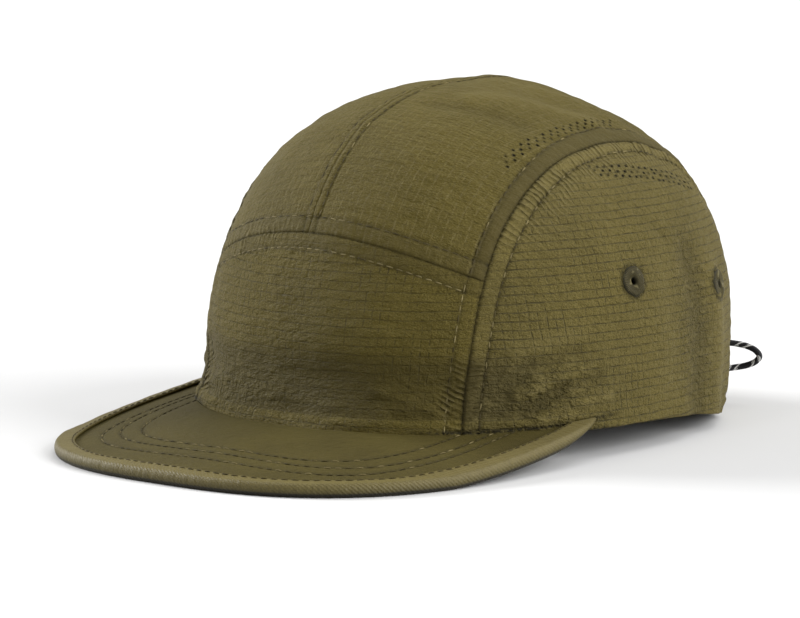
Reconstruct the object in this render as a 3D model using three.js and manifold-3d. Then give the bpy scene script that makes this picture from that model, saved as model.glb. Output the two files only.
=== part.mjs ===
// A five panel cap in ripstop cloth: a low front panel, two top panels, two arched side panels, a flat
// peak with a bound edge, four sewn eyelets and the loop of the drawcord behind the wearer's left ear.
// Lengths are in millimetres, +Z is up, the peak points towards -Y and the floor is at zero height.
import * as THREE from 'three';
import { mergeVertices } from 'three/addons/utils/BufferGeometryUtils.js';
import Module from 'manifold-3d';

const wasm = await Module();
wasm.setup();

// Crown, measured over the outside of the cloth
const crownHalfWidth = 83;
const crownHalfLength = 94;
const crownHeight = 116;
const clothThickness = 1.5;
const topShift = 16;          // how far the highest point lies behind the middle
const sideLean = 0.05;        // share of its width that the crown loses on the way up
const planRoundFront = 2.09;  // exponents of the plan outline, 2 for an ellipse, more for a square
const planRoundBack = 2.28;
const frontRound = 3.1;       // exponents of the upright outlines at the front, side and back
const sideRound = 1.53;
const backRound = 1.42;
const riseRound = 3.5;
const tipRadiusShare = 0.08;  // rounds the very top off

// Rim: level around the front and sides, then down to the floor at the back, where the cloth rests
const rimRise = 9.3;
const rimFallsFrom = THREE.MathUtils.degToRad(80);
const rimFlatFrom = THREE.MathUtils.degToRad(145);
const tuckShare = 0.02;       // the drawcord pulls the back rim in by this share
const tuckHeight = 13.6;
const tuckStart = 0.35;

// Seams
const seamGap = 0.3;
const sideSeamFront = 55.3;   // half the distance between the side seams at the front
const sideSeamBack = 50.5;    // and at the back
const seamBendStart = -0.51;  // the seams come closer from here, as a share of the crown's half length
const seamBendEnd = 0.32;     // to here
const frontSeamHeight = 71;
const frontSeamDrop = 13.5;   // from the middle of the front seam down to the side seam

// Peak
const peakLength = 59;
const peakHalfWidth = 83;
const peakWidestBehindFront = 37.4;
const peakBackDepth = 55;
const peakRound = 2.7;
const peakRise = 7.5;
const peakArch = 7.1;
const peakThickness = 2.2;
const bindingWall = 0.8;
const bindingWidth = 6;
const bindingRoll = 1.2;      // how far the folded edge of the binding is rounded
const bindingEndWidth = 2.6;
const pieceGap = 0.3;

// Vent holes
const ventRadius = 0.65;
const ventSides = 5;
const ventRows = 3;
const ventColumns = 9;

// Fields of vent holes beside the side seam, each given by the angles over the crown at which it starts
// and ends, how far out from the seam its middle row lies there, the distance between its rows, and how
// far each row lies behind the one before it, as a share of the distance between columns
const topVents = { start: 62.5, end: 101, outAtStart: -9.3, outAtEnd: -9.7, rowPitch: -2.1, slant: 0.45 };
const sideVents = { start: 78, end: 116.5, outAtStart: 6.8, outAtEnd: 10.2, rowPitch: 1.5, slant: 0.25 };

// Eyelets
const eyeletRadius = 5;
const eyeletHoleRadius = 1.1;
const eyeletProud = 0.4;
const eyeletSides = 12;

// Each eyelet's place: name, then its shares of the crown's half length and of its height
const eyelets = [
  { place: 'middle', along: -0.105, up: 0.47 },
  { place: 'rear', along: 0.453, up: 0.415 },
];

// Main folds of the cloth, on both sides: each runs from one point to another, given as shares of the
// crown's half width, half length and height. Width and depth are shares of the height, in if negative.
const folds = [
  { from: [0.94, 0.29, 0.52], to: [0.97, 0.28, 0.10], width: 0.055, depth: -0.014 },
  { from: [0.92, 0.42, 0.45], to: [0.93, 0.44, 0.08], width: 0.045, depth: 0.009 },
  { from: [0.83, -0.56, 0.16], to: [0.93, -0.35, 0.21], width: 0.030, depth: -0.013 },
  { from: [0.22, -0.23, 0.97], to: [0.50, 0.15, 0.89], width: 0.045, depth: 0.010 },
  { from: [0.16, 0.42, 0.97], to: [0.45, 0.50, 0.84], width: 0.060, depth: -0.012 },
  { from: [0.00, -0.98, 0.19], to: [0.60, -0.77, 0.19], width: 0.090, depth: -0.030 },
  { from: [0.60, -0.77, 0.19], to: [0.82, -0.55, 0.19], width: 0.080, depth: -0.018 },
];

// Gathers that the drawcord makes around the back of the rim
const gatherCount = 22;
const gatherDepth = 0.55;
const gatherHeight = 20;

// Drawcord: its loop leaves the back of the crown above the rim and goes back in below
const cordDiameter = 2;
const cordSides = 8;
const cordSteps = 30;
const cordRoute = [
  [50.2, 82.2, 21.6], [51.8, 84.6, 21.5], [54.4, 86.7, 21.1], [57.6, 88.3, 20.4], [60.5, 89.3, 19.1],
  [62.0, 89.8, 17.1], [60.8, 89.4, 15.1], [57.8, 88.3, 13.6], [54.4, 86.4, 12.8], [51.7, 83.6, 12.4],
  [50.2, 80.8, 12.3],
];

// Slices of the crown are swept by rays from this place, and every search halves its range this often
const rayHeight = 0;
const rayBehindMiddle = 12;
const halvings = 48;
const slopeStep = 0.05;
const punchLength = 6 * clothThickness;

// Faces along and across each piece
const columnsFront = 9;
const columnsTop = 9;
const columnsSide = 20;
const rowsFront = 8;
const rowsTop = 22;
const rowsSide = 9;
const columnsPeak = 32;
const rowsPeak = 6;
const peakRowCrowding = 1.5;    // how much closer the board's rows lie at its edge

const olive = new THREE.MeshStandardMaterial({ color: 0x6f6647, roughness: 0.78, metalness: 0 });
const darkOlive = new THREE.MeshStandardMaterial({ color: 0x4b4831, roughness: 0.8, metalness: 0 });
const lightOlive = new THREE.MeshStandardMaterial({ color: 0x7d7453, roughness: 0.7, metalness: 0 });
const blackCord = new THREE.MeshStandardMaterial({ color: 0x17171a, roughness: 0.6, metalness: 0 });

const clamp = THREE.MathUtils.clamp;
const lerp = THREE.MathUtils.lerp;

function signedPower(value, exponent) {
  return Math.sign(value) * Math.abs(value) ** exponent;
}

// Height of the rim at an angle from the middle of the front, the same on both sides
function rimHeight(angle) {
  const share = clamp((Math.abs(angle) - rimFallsFrom) / (rimFlatFrom - rimFallsFrom), 0, 1);
  return rimRise * 0.5 * (1 + Math.cos(Math.PI * share));
}

// How much smaller the plan is at an angle, this far above the rim
function tuckScale(angle, aboveRim) {
  const back = clamp((tuckStart - Math.cos(angle)) / (1 + tuckStart), 0, 1);
  return 1 - tuckShare * back * Math.exp(-((aboveRim / tuckHeight) ** 2));
}

// A point of the rim at an angle, moved straight out from the cloth by a distance
function rimPoint(angle, out = 0) {
  const round = Math.cos(angle) > 0 ? planRoundFront : planRoundBack;
  const scale = tuckScale(angle, 0);
  const acrossShare = signedPower(Math.sin(angle), 2 / round);
  const alongShare = -signedPower(Math.cos(angle), 2 / round);
  const normal = new THREE.Vector2(
    signedPower(acrossShare, round - 1) / crownHalfWidth,
    signedPower(alongShare, round - 1) / crownHalfLength,
  ).normalize();
  return new THREE.Vector3(
    crownHalfWidth * scale * acrossShare + normal.x * out,
    crownHalfLength * scale * alongShare + normal.y * out,
    rimHeight(angle),
  );
}

// How far out a place lies in the plan outline, 1 on it, and the share of that which is fore and aft
function planReach(across, along) {
  const round = along < 0 ? planRoundFront : planRoundBack;
  const reach = (Math.abs(across) ** round + Math.abs(along) ** round) ** (1 / round);
  const alongPart = reach > 0 ? (Math.abs(along) / reach) ** round : 0;
  return { reach, alongPart };
}

// The rim's angle on whose side of the crown a place lies, never negative
function planAngle(x, y) {
  const { alongPart } = planReach(x / crownHalfWidth, y / crownHalfLength);
  return Math.acos(clamp(-Math.sign(y) * Math.sqrt(alongPart), -1, 1));
}

// Below zero inside the crown's outer surface, zero on it and above zero outside
function crownLevel(x, y, z) {
  const angle = planAngle(x, y);
  const rim = rimHeight(angle);
  const rise = Math.max(0, (z - rim) / (crownHeight - rim));
  const across = x / (crownHalfWidth * (1 - sideLean * Math.min(rise, 1)));
  const along = (y - topShift * rise) / crownHalfLength;
  const { reach, alongPart } = planReach(across, along);
  const reachHere = reach / tuckScale(angle, Math.max(0, z - rim));
  const endRound = along < 0 ? frontRound : backRound;
  const exponent = sideRound + (endRound - sideRound) * alongPart;
  const tip = tipRadiusShare ** exponent;
  const full = (1 + tipRadiusShare ** 2) ** (exponent / 2) - tip;
  const outward = ((reachHere ** 2 + tipRadiusShare ** 2) ** (exponent / 2) - tip) / full;
  return outward + rise ** riseRound - 1;
}

// Unit vector out of the crown's surface
function outwardAt(point) {
  const step = slopeStep;
  const { x, y, z } = point;
  return new THREE.Vector3(
    crownLevel(x + step, y, z) - crownLevel(x - step, y, z),
    crownLevel(x, y + step, z) - crownLevel(x, y - step, z),
    crownLevel(x, y, z + step) - crownLevel(x, y, z - step),
  ).normalize();
}

// The point where a path that starts inside the crown passes through its surface
function throughCrown(pathPoint) {
  let inside = 0;
  let outside = 2 * crownHalfLength + crownHeight;
  for (let turn = 0; turn < halvings; turn += 1) {
    const middle = (inside + outside) / 2;
    const point = pathPoint(middle);
    if (crownLevel(point.x, point.y, point.z) < 0) {
      inside = middle;
    } else {
      outside = middle;
    }
  }
  return pathPoint((inside + outside) / 2);
}

// Distance of the side seam from the middle plane
function sideSeamAt(y) {
  const share = THREE.MathUtils.smoothstep(y / crownHalfLength, seamBendStart, seamBendEnd);
  return lerp(sideSeamFront, sideSeamBack, share);
}

// A crown point in a fore-and-aft slice, at an angle that goes from the front over the top to the back
function overCrown(sliceAt, angle) {
  return throughCrown((distance) => {
    const y = rayBehindMiddle - distance * Math.cos(angle);
    return new THREE.Vector3(sliceAt(y), y, rayHeight + distance * Math.sin(angle));
  });
}

// A crown point in a fore-and-aft slice, straight in front of the middle at a height
function frontCrown(sliceAt, height) {
  return throughCrown((distance) => {
    const y = rayBehindMiddle - distance;
    return new THREE.Vector3(sliceAt(y), y, height);
  });
}

// A crown point straight out to one side
function sideCrown(y, z) {
  return throughCrown((distance) => new THREE.Vector3(distance, y, z));
}

function frontSeamAt(x) {
  return frontSeamHeight - frontSeamDrop * (x / sideSeamFront) ** 2;
}

function angleOf(point) {
  return Math.atan2(point.z - rayHeight, rayBehindMiddle - point.y);
}

// How far a crown point is moved out by the folds and gathers
function foldDepth(point) {
  const place = new THREE.Vector3(Math.abs(point.x), point.y, point.z);
  const size = new THREE.Vector3(crownHalfWidth, crownHalfLength, crownHeight);
  let depth = 0;
  for (const fold of folds) {
    const from = new THREE.Vector3(...fold.from).multiply(size);
    const to = new THREE.Vector3(...fold.to).multiply(size);
    const nearest = new THREE.Line3(from, to).closestPointToPoint(place, true, new THREE.Vector3());
    const away = nearest.distanceTo(place) / (fold.width * crownHeight);
    depth += fold.depth * crownHeight * Math.exp(-(away ** 2));
  }
  const angle = Math.atan2(point.x, -point.y);
  const back = clamp(-Math.cos(angle), 0, 1);
  const fade = Math.exp(-((point.z / gatherHeight) ** 2));
  return depth + gatherDepth * back * fade * Math.cos(gatherCount * angle);
}

// A closed solid between two faces, each given by its point at a column and a row from 0 to 1
function solidBetween(columns, rows, outerFace, innerFace) {
  const positions = [];
  const index = [];
  const count = (columns + 1) * (rows + 1);
  for (const face of [outerFace, innerFace]) {
    for (let column = 0; column <= columns; column += 1) {
      for (let row = 0; row <= rows; row += 1) {
        positions.push(...face(column / columns, row / rows).toArray());
      }
    }
  }
  const at = (column, row, side) => side * count + column * (rows + 1) + row;
  const quad = (a, b, c, d) => index.push(a, b, c, a, c, d);
  for (let column = 0; column < columns; column += 1) {
    for (let row = 0; row < rows; row += 1) {
      quad(at(column, row, 0), at(column + 1, row, 0), at(column + 1, row + 1, 0), at(column, row + 1, 0));
      quad(at(column, row, 1), at(column, row + 1, 1), at(column + 1, row + 1, 1), at(column + 1, row, 1));
    }
    quad(at(column, 0, 0), at(column, 0, 1), at(column + 1, 0, 1), at(column + 1, 0, 0));
    quad(at(column, rows, 0), at(column + 1, rows, 0), at(column + 1, rows, 1), at(column, rows, 1));
  }
  for (let row = 0; row < rows; row += 1) {
    quad(at(0, row, 0), at(0, row + 1, 0), at(0, row + 1, 1), at(0, row, 1));
    quad(at(columns, row, 0), at(columns, row, 1), at(columns, row + 1, 1), at(columns, row + 1, 0));
  }
  return closedGeometry(positions, index);
}

// Shares the vertices that lie together, drops the triangles that closed up and turns the rest outwards
function closedGeometry(positions, index) {
  const loose = new THREE.BufferGeometry();
  loose.setAttribute('position', new THREE.Float32BufferAttribute(positions, 3));
  loose.setIndex(index);
  const merged = mergeVertices(loose, 1e-3);
  const place = (corner) => new THREE.Vector3().fromBufferAttribute(merged.attributes.position, corner);
  const kept = [];
  let volume = 0;
  for (let first = 0; first < merged.index.count; first += 3) {
    const [a, b, c] = [0, 1, 2].map((corner) => merged.index.getX(first + corner));
    if (a !== b && b !== c && c !== a) {
      kept.push([a, b, c]);
      volume += place(a).dot(place(b).cross(place(c)));
    }
  }
  merged.setIndex(kept.flatMap(([a, b, c]) => (volume > 0 ? [a, b, c] : [a, c, b])));
  return merged;
}

// A wall of cloth on the crown, from the points of its outer face before folding
function clothWall(columns, rows, crownPoint) {
  const face = (depthInside) => (column, row) => {
    const point = crownPoint(column, row);
    const outward = outwardAt(point);
    const moved = point.clone().addScaledVector(outward, foldDepth(point) - depthInside);
    if (point.z < rimHeight(planAngle(point.x, point.y)) + clothThickness / 2) {
      moved.z = point.z;
    }
    return moved;
  };
  return solidBetween(columns, rows, face(0), face(clothThickness));
}

function toSolid(geometry) {
  const bare = geometry.clone();
  bare.deleteAttribute('normal');
  bare.deleteAttribute('uv');
  const merged = mergeVertices(bare, 1e-4);
  return new wasm.Manifold(new wasm.Mesh({
    numProp: 3,
    vertProperties: new Float32Array(merged.attributes.position.array),
    triVerts: new Uint32Array(merged.index.array),
  }));
}

function toGeometry(solid) {
  const mesh = solid.getMesh();
  const geometry = new THREE.BufferGeometry();
  geometry.setAttribute('position', new THREE.BufferAttribute(new Float32Array(mesh.vertProperties), 3));
  geometry.setIndex(Array.from(mesh.triVerts));
  return geometry;
}

// A short round bar through the cloth at a crown point
function punch(point, radius, sides) {
  const bar = new THREE.CylinderGeometry(radius, radius, punchLength, sides);
  bar.applyQuaternion(turnTo(point));
  bar.translate(point.x, point.y, point.z);
  return toSolid(bar);
}

function turnTo(point) {
  return new THREE.Quaternion().setFromUnitVectors(new THREE.Vector3(0, 1, 0), outwardAt(point));
}

function pierced(wall, punches) {
  return toGeometry(toSolid(wall).subtract(wasm.Manifold.union(punches)));
}

// A slanting field of vent holes that follows the side seam
function ventPunches(field, side) {
  const punches = [];
  for (let row = 0; row < ventRows; row += 1) {
    const rowStep = row - (ventRows - 1) / 2;
    for (let column = 0; column < ventColumns; column += 1) {
      const share = (column + rowStep * field.slant) / (ventColumns - 1);
      const out = lerp(field.outAtStart, field.outAtEnd, share) + rowStep * field.rowPitch;
      const angle = THREE.MathUtils.degToRad(lerp(field.start, field.end, share));
      const point = overCrown((y) => side * (sideSeamAt(y) + out), angle);
      punches.push(punch(point, ventRadius, ventSides));
    }
  }
  return punches;
}

function eyeletPoint(eyelet, side) {
  const point = sideCrown(eyelet.along * crownHalfLength, eyelet.up * crownHeight);
  point.x *= side;
  return point;
}

function frontPanel() {
  return clothWall(2 * columnsFront, rowsFront, (column, row) => {
    const sliceAt = (y) => (2 * column - 1) * (sideSeamAt(y) - seamGap / 2);
    const top = frontCrown(sliceAt, frontSeamHeight);
    const seam = frontSeamAt(top.x) - seamGap / 2;
    return frontCrown(sliceAt, lerp(rimRise, seam, row));
  });
}

function topPanel(side) {
  const wall = clothWall(columnsTop, rowsTop, (column, row) => {
    const sliceAt = (y) => side * lerp(seamGap / 2, sideSeamAt(y) - seamGap / 2, column);
    const start = frontCrown(sliceAt, frontSeamAt(frontCrown(sliceAt, frontSeamHeight).x) + seamGap / 2);
    return overCrown(sliceAt, lerp(angleOf(start), Math.PI, row));
  });
  return pierced(wall, ventPunches(topVents, side));
}

// The angle of the rim at which it passes the side seam, looked for between two angles
function rimAngleAtSeam(near, far) {
  let low = near;
  let high = far;
  const outsideSeam = (angle) => {
    const point = rimPoint(angle);
    return point.x > sideSeamAt(point.y) + seamGap / 2;
  };
  const wanted = outsideSeam(high);
  for (let turn = 0; turn < halvings; turn += 1) {
    const middle = (low + high) / 2;
    if (outsideSeam(middle) === wanted) {
      high = middle;
    } else {
      low = middle;
    }
  }
  return (low + high) / 2;
}

function sidePanel(side) {
  const frontAngle = rimAngleAtSeam(0, Math.PI / 2);
  const backAngle = rimAngleAtSeam(Math.PI / 2, Math.PI);
  const archFrom = angleOf(rimPoint(frontAngle));
  const archTo = angleOf(rimPoint(backAngle));
  const sliceAt = (y) => sideSeamAt(y) + seamGap / 2;
  const wall = clothWall(columnsSide, rowsSide, (column, row) => {
    const rim = rimPoint(lerp(frontAngle, backAngle, column));
    const arch = overCrown(sliceAt, lerp(archFrom, archTo, column));
    const atCorner = column === 0 || column === 1;
    let point = sideCrown(lerp(rim.y, arch.y, row), lerp(rim.z, arch.z, row));
    if (atCorner || row === 0) {
      point = rim;
    } else if (row === 1) {
      point = arch;
    }
    point.x *= side;
    return point;
  });
  const punches = ventPunches(sideVents, side);
  for (const eyelet of eyelets) {
    punches.push(punch(eyeletPoint(eyelet, side), eyeletRadius + pieceGap, eyeletSides));
  }
  return pierced(wall, punches);
}

// Outline of the peak from one end (-1) over the front (0) to the other end (1), moved in by a distance
function peakOutline(share, inset) {
  const angle = share * Math.PI;
  const front = Math.cos(angle) > 0;
  const length = front ? crownHalfLength + peakLength - peakWidest() : peakBackDepth;
  return new THREE.Vector2(
    (peakHalfWidth - inset) * signedPower(Math.sin(angle), 2 / peakRound),
    -peakWidest() - (length - inset) * signedPower(Math.cos(angle), 2 / peakRound),
  );
}

// How far the widest place of the peak lies in front of the middle of the crown
function peakWidest() {
  return crownHalfLength - peakWidestBehindFront;
}

// Height of the underside of the bound peak: it falls to the floor in front and bends down at its sides
function peakHeight(x, y) {
  const fall = (-crownHalfLength - y) / peakLength;
  return Math.max(0, peakRise * (1 - fall) - peakArch * (x / peakHalfWidth) ** 2);
}

// Whether a place in the plan lies outside the crown's wall and the gap around it
function clearOfCrown(place) {
  const across = place.x / (crownHalfWidth + pieceGap);
  const along = place.y / (crownHalfLength + pieceGap);
  return planReach(across, along).reach > 1;
}

// The largest value up to a limit for which a test still holds
function largestThat(holds, limit) {
  let good = 0;
  let bad = limit;
  if (holds(limit)) {
    return limit;
  }
  for (let turn = 0; turn < halvings; turn += 1) {
    const middle = (good + bad) / 2;
    if (holds(middle)) {
      good = middle;
    } else {
      bad = middle;
    }
  }
  return good;
}

// The rim's angle where the wall is as far forward as a place beside it
function rimAngleAt(y) {
  return largestThat((angle) => rimPoint(angle, pieceGap).y < y, Math.PI / 2);
}

function peak() {
  const boardInset = bindingRoll + bindingWall + pieceGap;
  const end = largestThat((share) => clearOfCrown(peakOutline(share, boardInset)), 1);
  const endAngle = rimAngleAt(peakOutline(end, boardInset).y);
  const face = (height) => (column, row) => {
    const share = 2 * column - 1;
    const outer = peakOutline(share * end, boardInset);
    const wall = rimPoint(share * endAngle, pieceGap);
    const inner = new THREE.Vector2(wall.x, wall.y);
    const outward = 1 - (1 - row) ** peakRowCrowding;
    const place = Math.abs(share) === 1 ? inner : inner.lerp(outer, outward);
    return new THREE.Vector3(place.x, place.y, peakHeight(place.x, place.y) + height);
  };
  const under = bindingWall + pieceGap;
  return solidBetween(columnsPeak, rowsPeak, face(under + peakThickness), face(under));
}

// The strip of cloth folded over the peak's outer edge, as a wall around a U-shaped section
function peakBinding() {
  const height = peakThickness + 2 * (bindingWall + pieceGap);
  // Outer skin of the section from the lower leg's end round the edge to the upper leg's end: the
  // leg and the roll as shares of their own lengths, and how far up as a share of the height
  const section = [
    { leg: 1, roll: 1, up: 0 }, { leg: 0, roll: 1, up: 0 }, { leg: 0, roll: 0.2, up: 0.2 },
    { leg: 0, roll: 0, up: 0.5 }, { leg: 0, roll: 0.2, up: 0.8 }, { leg: 0, roll: 1, up: 1 },
    { leg: 1, roll: 1, up: 1 },
  ];
  const widthAt = (share) => largestThat((inset) => clearOfCrown(peakOutline(share, inset)), bindingWidth);
  const end = largestThat((share) => widthAt(share) > bindingEndWidth, 1);
  const skin = (inside) => (column, row) => {
    const share = (2 * column - 1) * end;
    const width = widthAt(share);
    const { leg, roll, up } = section[Math.round(row * (section.length - 1))];
    const inset = roll * bindingRoll + leg * (width - bindingRoll);
    const place = peakOutline(share, inset + inside * (1 - leg) * bindingWall);
    const level = up * height + inside * bindingWall * (1 - 2 * up);
    return new THREE.Vector3(place.x, place.y, peakHeight(place.x, place.y) + level);
  };
  return solidBetween(columnsPeak, section.length - 1, skin(0), skin(1));
}

function eyeletRing() {
  const half = clothThickness / 2 + eyeletProud;
  const shoulder = eyeletProud;
  const profile = [
    [eyeletHoleRadius, -half], [eyeletRadius - shoulder, -half], [eyeletRadius, -half + shoulder],
    [eyeletRadius, half - shoulder], [eyeletRadius - shoulder, half], [eyeletHoleRadius, half],
    [eyeletHoleRadius, -half],
  ].map(([radius, height]) => new THREE.Vector2(radius, height));
  return new THREE.LatheGeometry(profile, eyeletSides);
}

function drawcord() {
  const curve = new THREE.CatmullRomCurve3(cordRoute.map((point) => new THREE.Vector3(...point)));
  const section = new THREE.Shape();
  for (let side = 0; side < cordSides; side += 1) {
    const angle = side / cordSides * 2 * Math.PI;
    const [x, y] = [Math.cos(angle), Math.sin(angle)].map((value) => value * cordDiameter / 2);
    if (side === 0) {
      section.moveTo(x, y);
    } else {
      section.lineTo(x, y);
    }
  }
  return new THREE.ExtrudeGeometry(section, { steps: cordSteps, bevelEnabled: false, extrudePath: curve });
}

const cap = new THREE.Group();

function add(name, geometry, material) {
  const mesh = new THREE.Mesh(geometry, material);
  mesh.name = name;
  cap.add(mesh);
  return mesh;
}

add('front_panel', frontPanel(), olive);
for (const [hand, side] of [['left', 1], ['right', -1]]) {
  add(`top_panel_${hand}`, topPanel(side), olive);
  add(`side_panel_${hand}`, sidePanel(side), olive);
  for (const eyelet of eyelets) {
    const ring = add(`eyelet_${eyelet.place}_${hand}`, eyeletRing(), darkOlive);
    const point = eyeletPoint(eyelet, side);
    ring.quaternion.copy(turnTo(point));
    ring.position.copy(point.addScaledVector(outwardAt(point), -clothThickness / 2));
  }
}
add('peak', peak(), olive);
add('peak_binding', peakBinding(), lightOlive);
const cord = add('drawcord', drawcord(), blackCord);

// The whole cap stands centred over the origin, measured without its loose cord
const extent = new THREE.Box3();
for (const piece of cap.children.filter((child) => child !== cord)) {
  extent.expandByObject(piece);
}
cap.position.y = -(extent.min.y + extent.max.y) / 2;

const standing = new THREE.Group();
standing.add(cap);

export default standing;
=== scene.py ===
import math

import bpy
import numpy as np
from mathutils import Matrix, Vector


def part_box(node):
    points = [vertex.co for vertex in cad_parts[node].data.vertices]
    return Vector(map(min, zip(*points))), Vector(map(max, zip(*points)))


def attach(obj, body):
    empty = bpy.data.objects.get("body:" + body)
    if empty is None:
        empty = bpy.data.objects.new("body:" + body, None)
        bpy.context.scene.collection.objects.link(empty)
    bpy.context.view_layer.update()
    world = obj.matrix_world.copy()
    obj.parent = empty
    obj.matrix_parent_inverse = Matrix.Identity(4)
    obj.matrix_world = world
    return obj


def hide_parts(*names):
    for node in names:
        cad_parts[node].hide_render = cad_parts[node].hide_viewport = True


# Lengths in this file are millimetres in the crown's own frame, whose middle lies at x = 0 and y = 0, unless
# a name says otherwise. to_frame() turns them into metres in the shared frame.

# Crown, as in the solid model
CROWN_HALF_WIDTH = 83
CROWN_HALF_LENGTH = 94
CROWN_HEIGHT = 116
CLOTH_THICKNESS = 1.5
TOP_SHIFT = 16
SIDE_LEAN = 0.05
PLAN_ROUND_FRONT = 2.09
PLAN_ROUND_BACK = 2.28
FRONT_ROUND = 3.1
SIDE_ROUND = 1.53
BACK_ROUND = 1.42
RISE_ROUND = 3.5
TIP_RADIUS_SHARE = 0.08
RIM_RISE = 9.3
RIM_FALLS_FROM = math.radians(80)
RIM_FLAT_FROM = math.radians(145)
TUCK_SHARE = 0.02
TUCK_HEIGHT = 13.6
TUCK_START = 0.35
RAY_BEHIND_MIDDLE = 12

# Seams
SEAM_GAP = 0.02
SIDE_SEAM_FRONT = 55.3
SIDE_SEAM_BACK = 50.5
SEAM_BEND_START = -0.51     # the seams come closer from here, as a share of the crown's half length
SEAM_BEND_END = 0.32        # to here
FRONT_SEAM_HEIGHT = 71
FRONT_SEAM_DROP = 13.5
CENTRE_STITCH = 2.5         # distances of the stitch rows from their seams
FRONT_UPPER_STITCH = 5
FRONT_LOWER_STITCH = 4.8
FRONT_SIDE_STITCH = 4
TOP_SIDE_STITCH_FRONT = 3.5
TOP_SIDE_STITCH_BACK = 5.6
SIDE_STITCH = 3.8
HEM_HEIGHT = 5.2
DEEPEST, PROUDEST = -5.5, 2.6   # limits of the cloth's relief

# Peak
PEAK_LENGTH = 59
PEAK_HALF_WIDTH = 83
PEAK_WIDEST_BEHIND_FRONT = 37.4
PEAK_BACK_DEPTH = 55
PEAK_ROUND = 2.7
PEAK_RISE = 7.5
PEAK_ARCH = 7.1
PEAK_WIDEST = CROWN_HALF_LENGTH - PEAK_WIDEST_BEHIND_FRONT      # how far in front of the middle
PEAK_FRONT_LENGTH = PEAK_LENGTH + PEAK_WIDEST_BEHIND_FRONT
PEAK_THICKNESS = 2.2
PEAK_STITCH_ROUND = 3.4
PEAK_STITCH_ROWS = [        # distances in from the peak's outline
    {"side": 16.5, "front": 19},
    {"side": 20.5, "front": 25.5},
    {"side": 27.5, "front": 30.5},
]
BINDING_WALL = 0.8
BINDING_WIDTH = 6
BINDING_ROLL = 1.2
BINDING_END_WIDTH = 1.0
BINDING_TIP_LENGTH = 30
BINDING_TIP_HEIGHT = 0.16   # share of its height that the binding keeps at its tips
BINDING_STITCH_INSET = 5.3
PIECE_GAP = 0.3

# Vents: fields beside the side seam, each given by the angles over the crown at which it starts and ends,
# how far out from the seam its middle row lies there, the distance between its rows, and how far each row
# lies behind the one before it, as a share of the distance between columns
VENT_RADIUS = 0.44
VENT_ROWS = 3
TOP_VENTS = {
    "columns": 16, "start": 62.5, "end": 98.5, "out": -7.8, "bends_at": 80, "bend": 20,
    "row_pitch": -1.2, "slant": 0.38,
}
SIDE_VENTS = {
    "columns": 17, "start": 79.0, "end": 114, "out": 11, "bends_at": 100, "bend": 10,
    "row_pitch": 1.4, "slant": 0.2,
}

# Eyelets: each one's shares of the crown's half length and of its height
EYELETS = {"middle": (-0.105, 0.47), "rear": (0.453, 0.415)}
EYELET_RADIUS = 5
EYELET_HOLE_RADIUS = 1.2
EYELET_CLOTH_HOLE = 4.0
EYELET_PROUD = 0.45

# Stitches
STITCH_PITCH = 3.3
STITCH_LENGTH = 2.2
STITCH_WIDTH = 0.46
STITCH_HEIGHT = 0.36

# Drawcord
CORD_DIAMETER = 2
CORD_ROUTE = [
    (50.2, 82.2, 21.6), (51.8, 84.6, 21.5), (54.4, 86.7, 21.1), (57.6, 88.3, 20.4), (60.5, 89.3, 19.1),
    (62.0, 89.8, 17.1), (60.8, 89.4, 15.1), (57.8, 88.3, 13.6), (54.4, 86.4, 12.8), (51.7, 83.6, 12.4),
    (50.2, 80.8, 12.3),
]

# Camera, fitted to the photograph's 800 by 618 frame
PHOTO_WIDTH, PHOTO_HEIGHT = 800, 618
CAMERA_AZIMUTH = math.radians(38.315)
CAMERA_ELEVATION = math.radians(7.18)
CAMERA_DISTANCE = 1149
CAMERA_TARGET = (0, -20, 50)
CAMERA_TARGET_PIXEL = (424.955, 279.486)
CAMERA_FOCAL_PIXELS = 3439
SENSOR_WIDTH = 36

# Ripstop grid
GRID_PITCH = 2.8
UV_START = 8.0              # height from which cloth lengths are measured

# Rows and columns of the pieces' meshes
FRONT_GRID = (70, 121)
TOP_GRID = (330, 92)
SIDE_GRID = (142, 240)
PEAK_GRID = (70, 300)
BINDING_COLUMNS = 420
EYELET_THREADS, EYELET_RINGS = 46, 11
CORD_RINGS, CORD_SIDES, CORD_STRANDS = 260, 32, 8

# Cloths: strength of the grid's level and upright lines, whether painted sheen streaks lie on it, the share
# and colour of a painted veil that lies over the rest for how light falls on the panel (a pale sheen on the
# sides, shade on the top), and the height of the relief in millimetres
CLOTHS = {
    "side": (0.95, 0.85, False, (0.045, (0.38, 0.34, 0.22)), 1.0),
    "front": (0.6, 0.75, False, (0.0, (0.0, 0.0, 0.0)), 0.9),
    "top": (0.25, 0.3, True, (0.12, (0.0, 0.0, 0.0)), 0.6),
}

# Lights: degrees to the wearer's left of straight ahead, above the floor and across, then the strength
LIGHTS = {
    "key": (-2, 37, 14, 0.25),
    "left_box": (-78, 26, 28, 3.3),
    "right_box": (108, 24, 45, 3.2),
    "top_box": (165, 60, 50, 1.1),
}
ALL_ROUND_LIGHT = 0.42

# Waves of the cloth: height, wavelength, seed, and how much closer they lie each way
CLOTH_WAVES = [
    (0.16, 26, 3, (1, 1, 1)),
    (0.13, 10, 5, (0.6, 0.6, 1.5)),
    (0.08, 4.2, 6, (0.7, 0.7, 1.4)),
]

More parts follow.
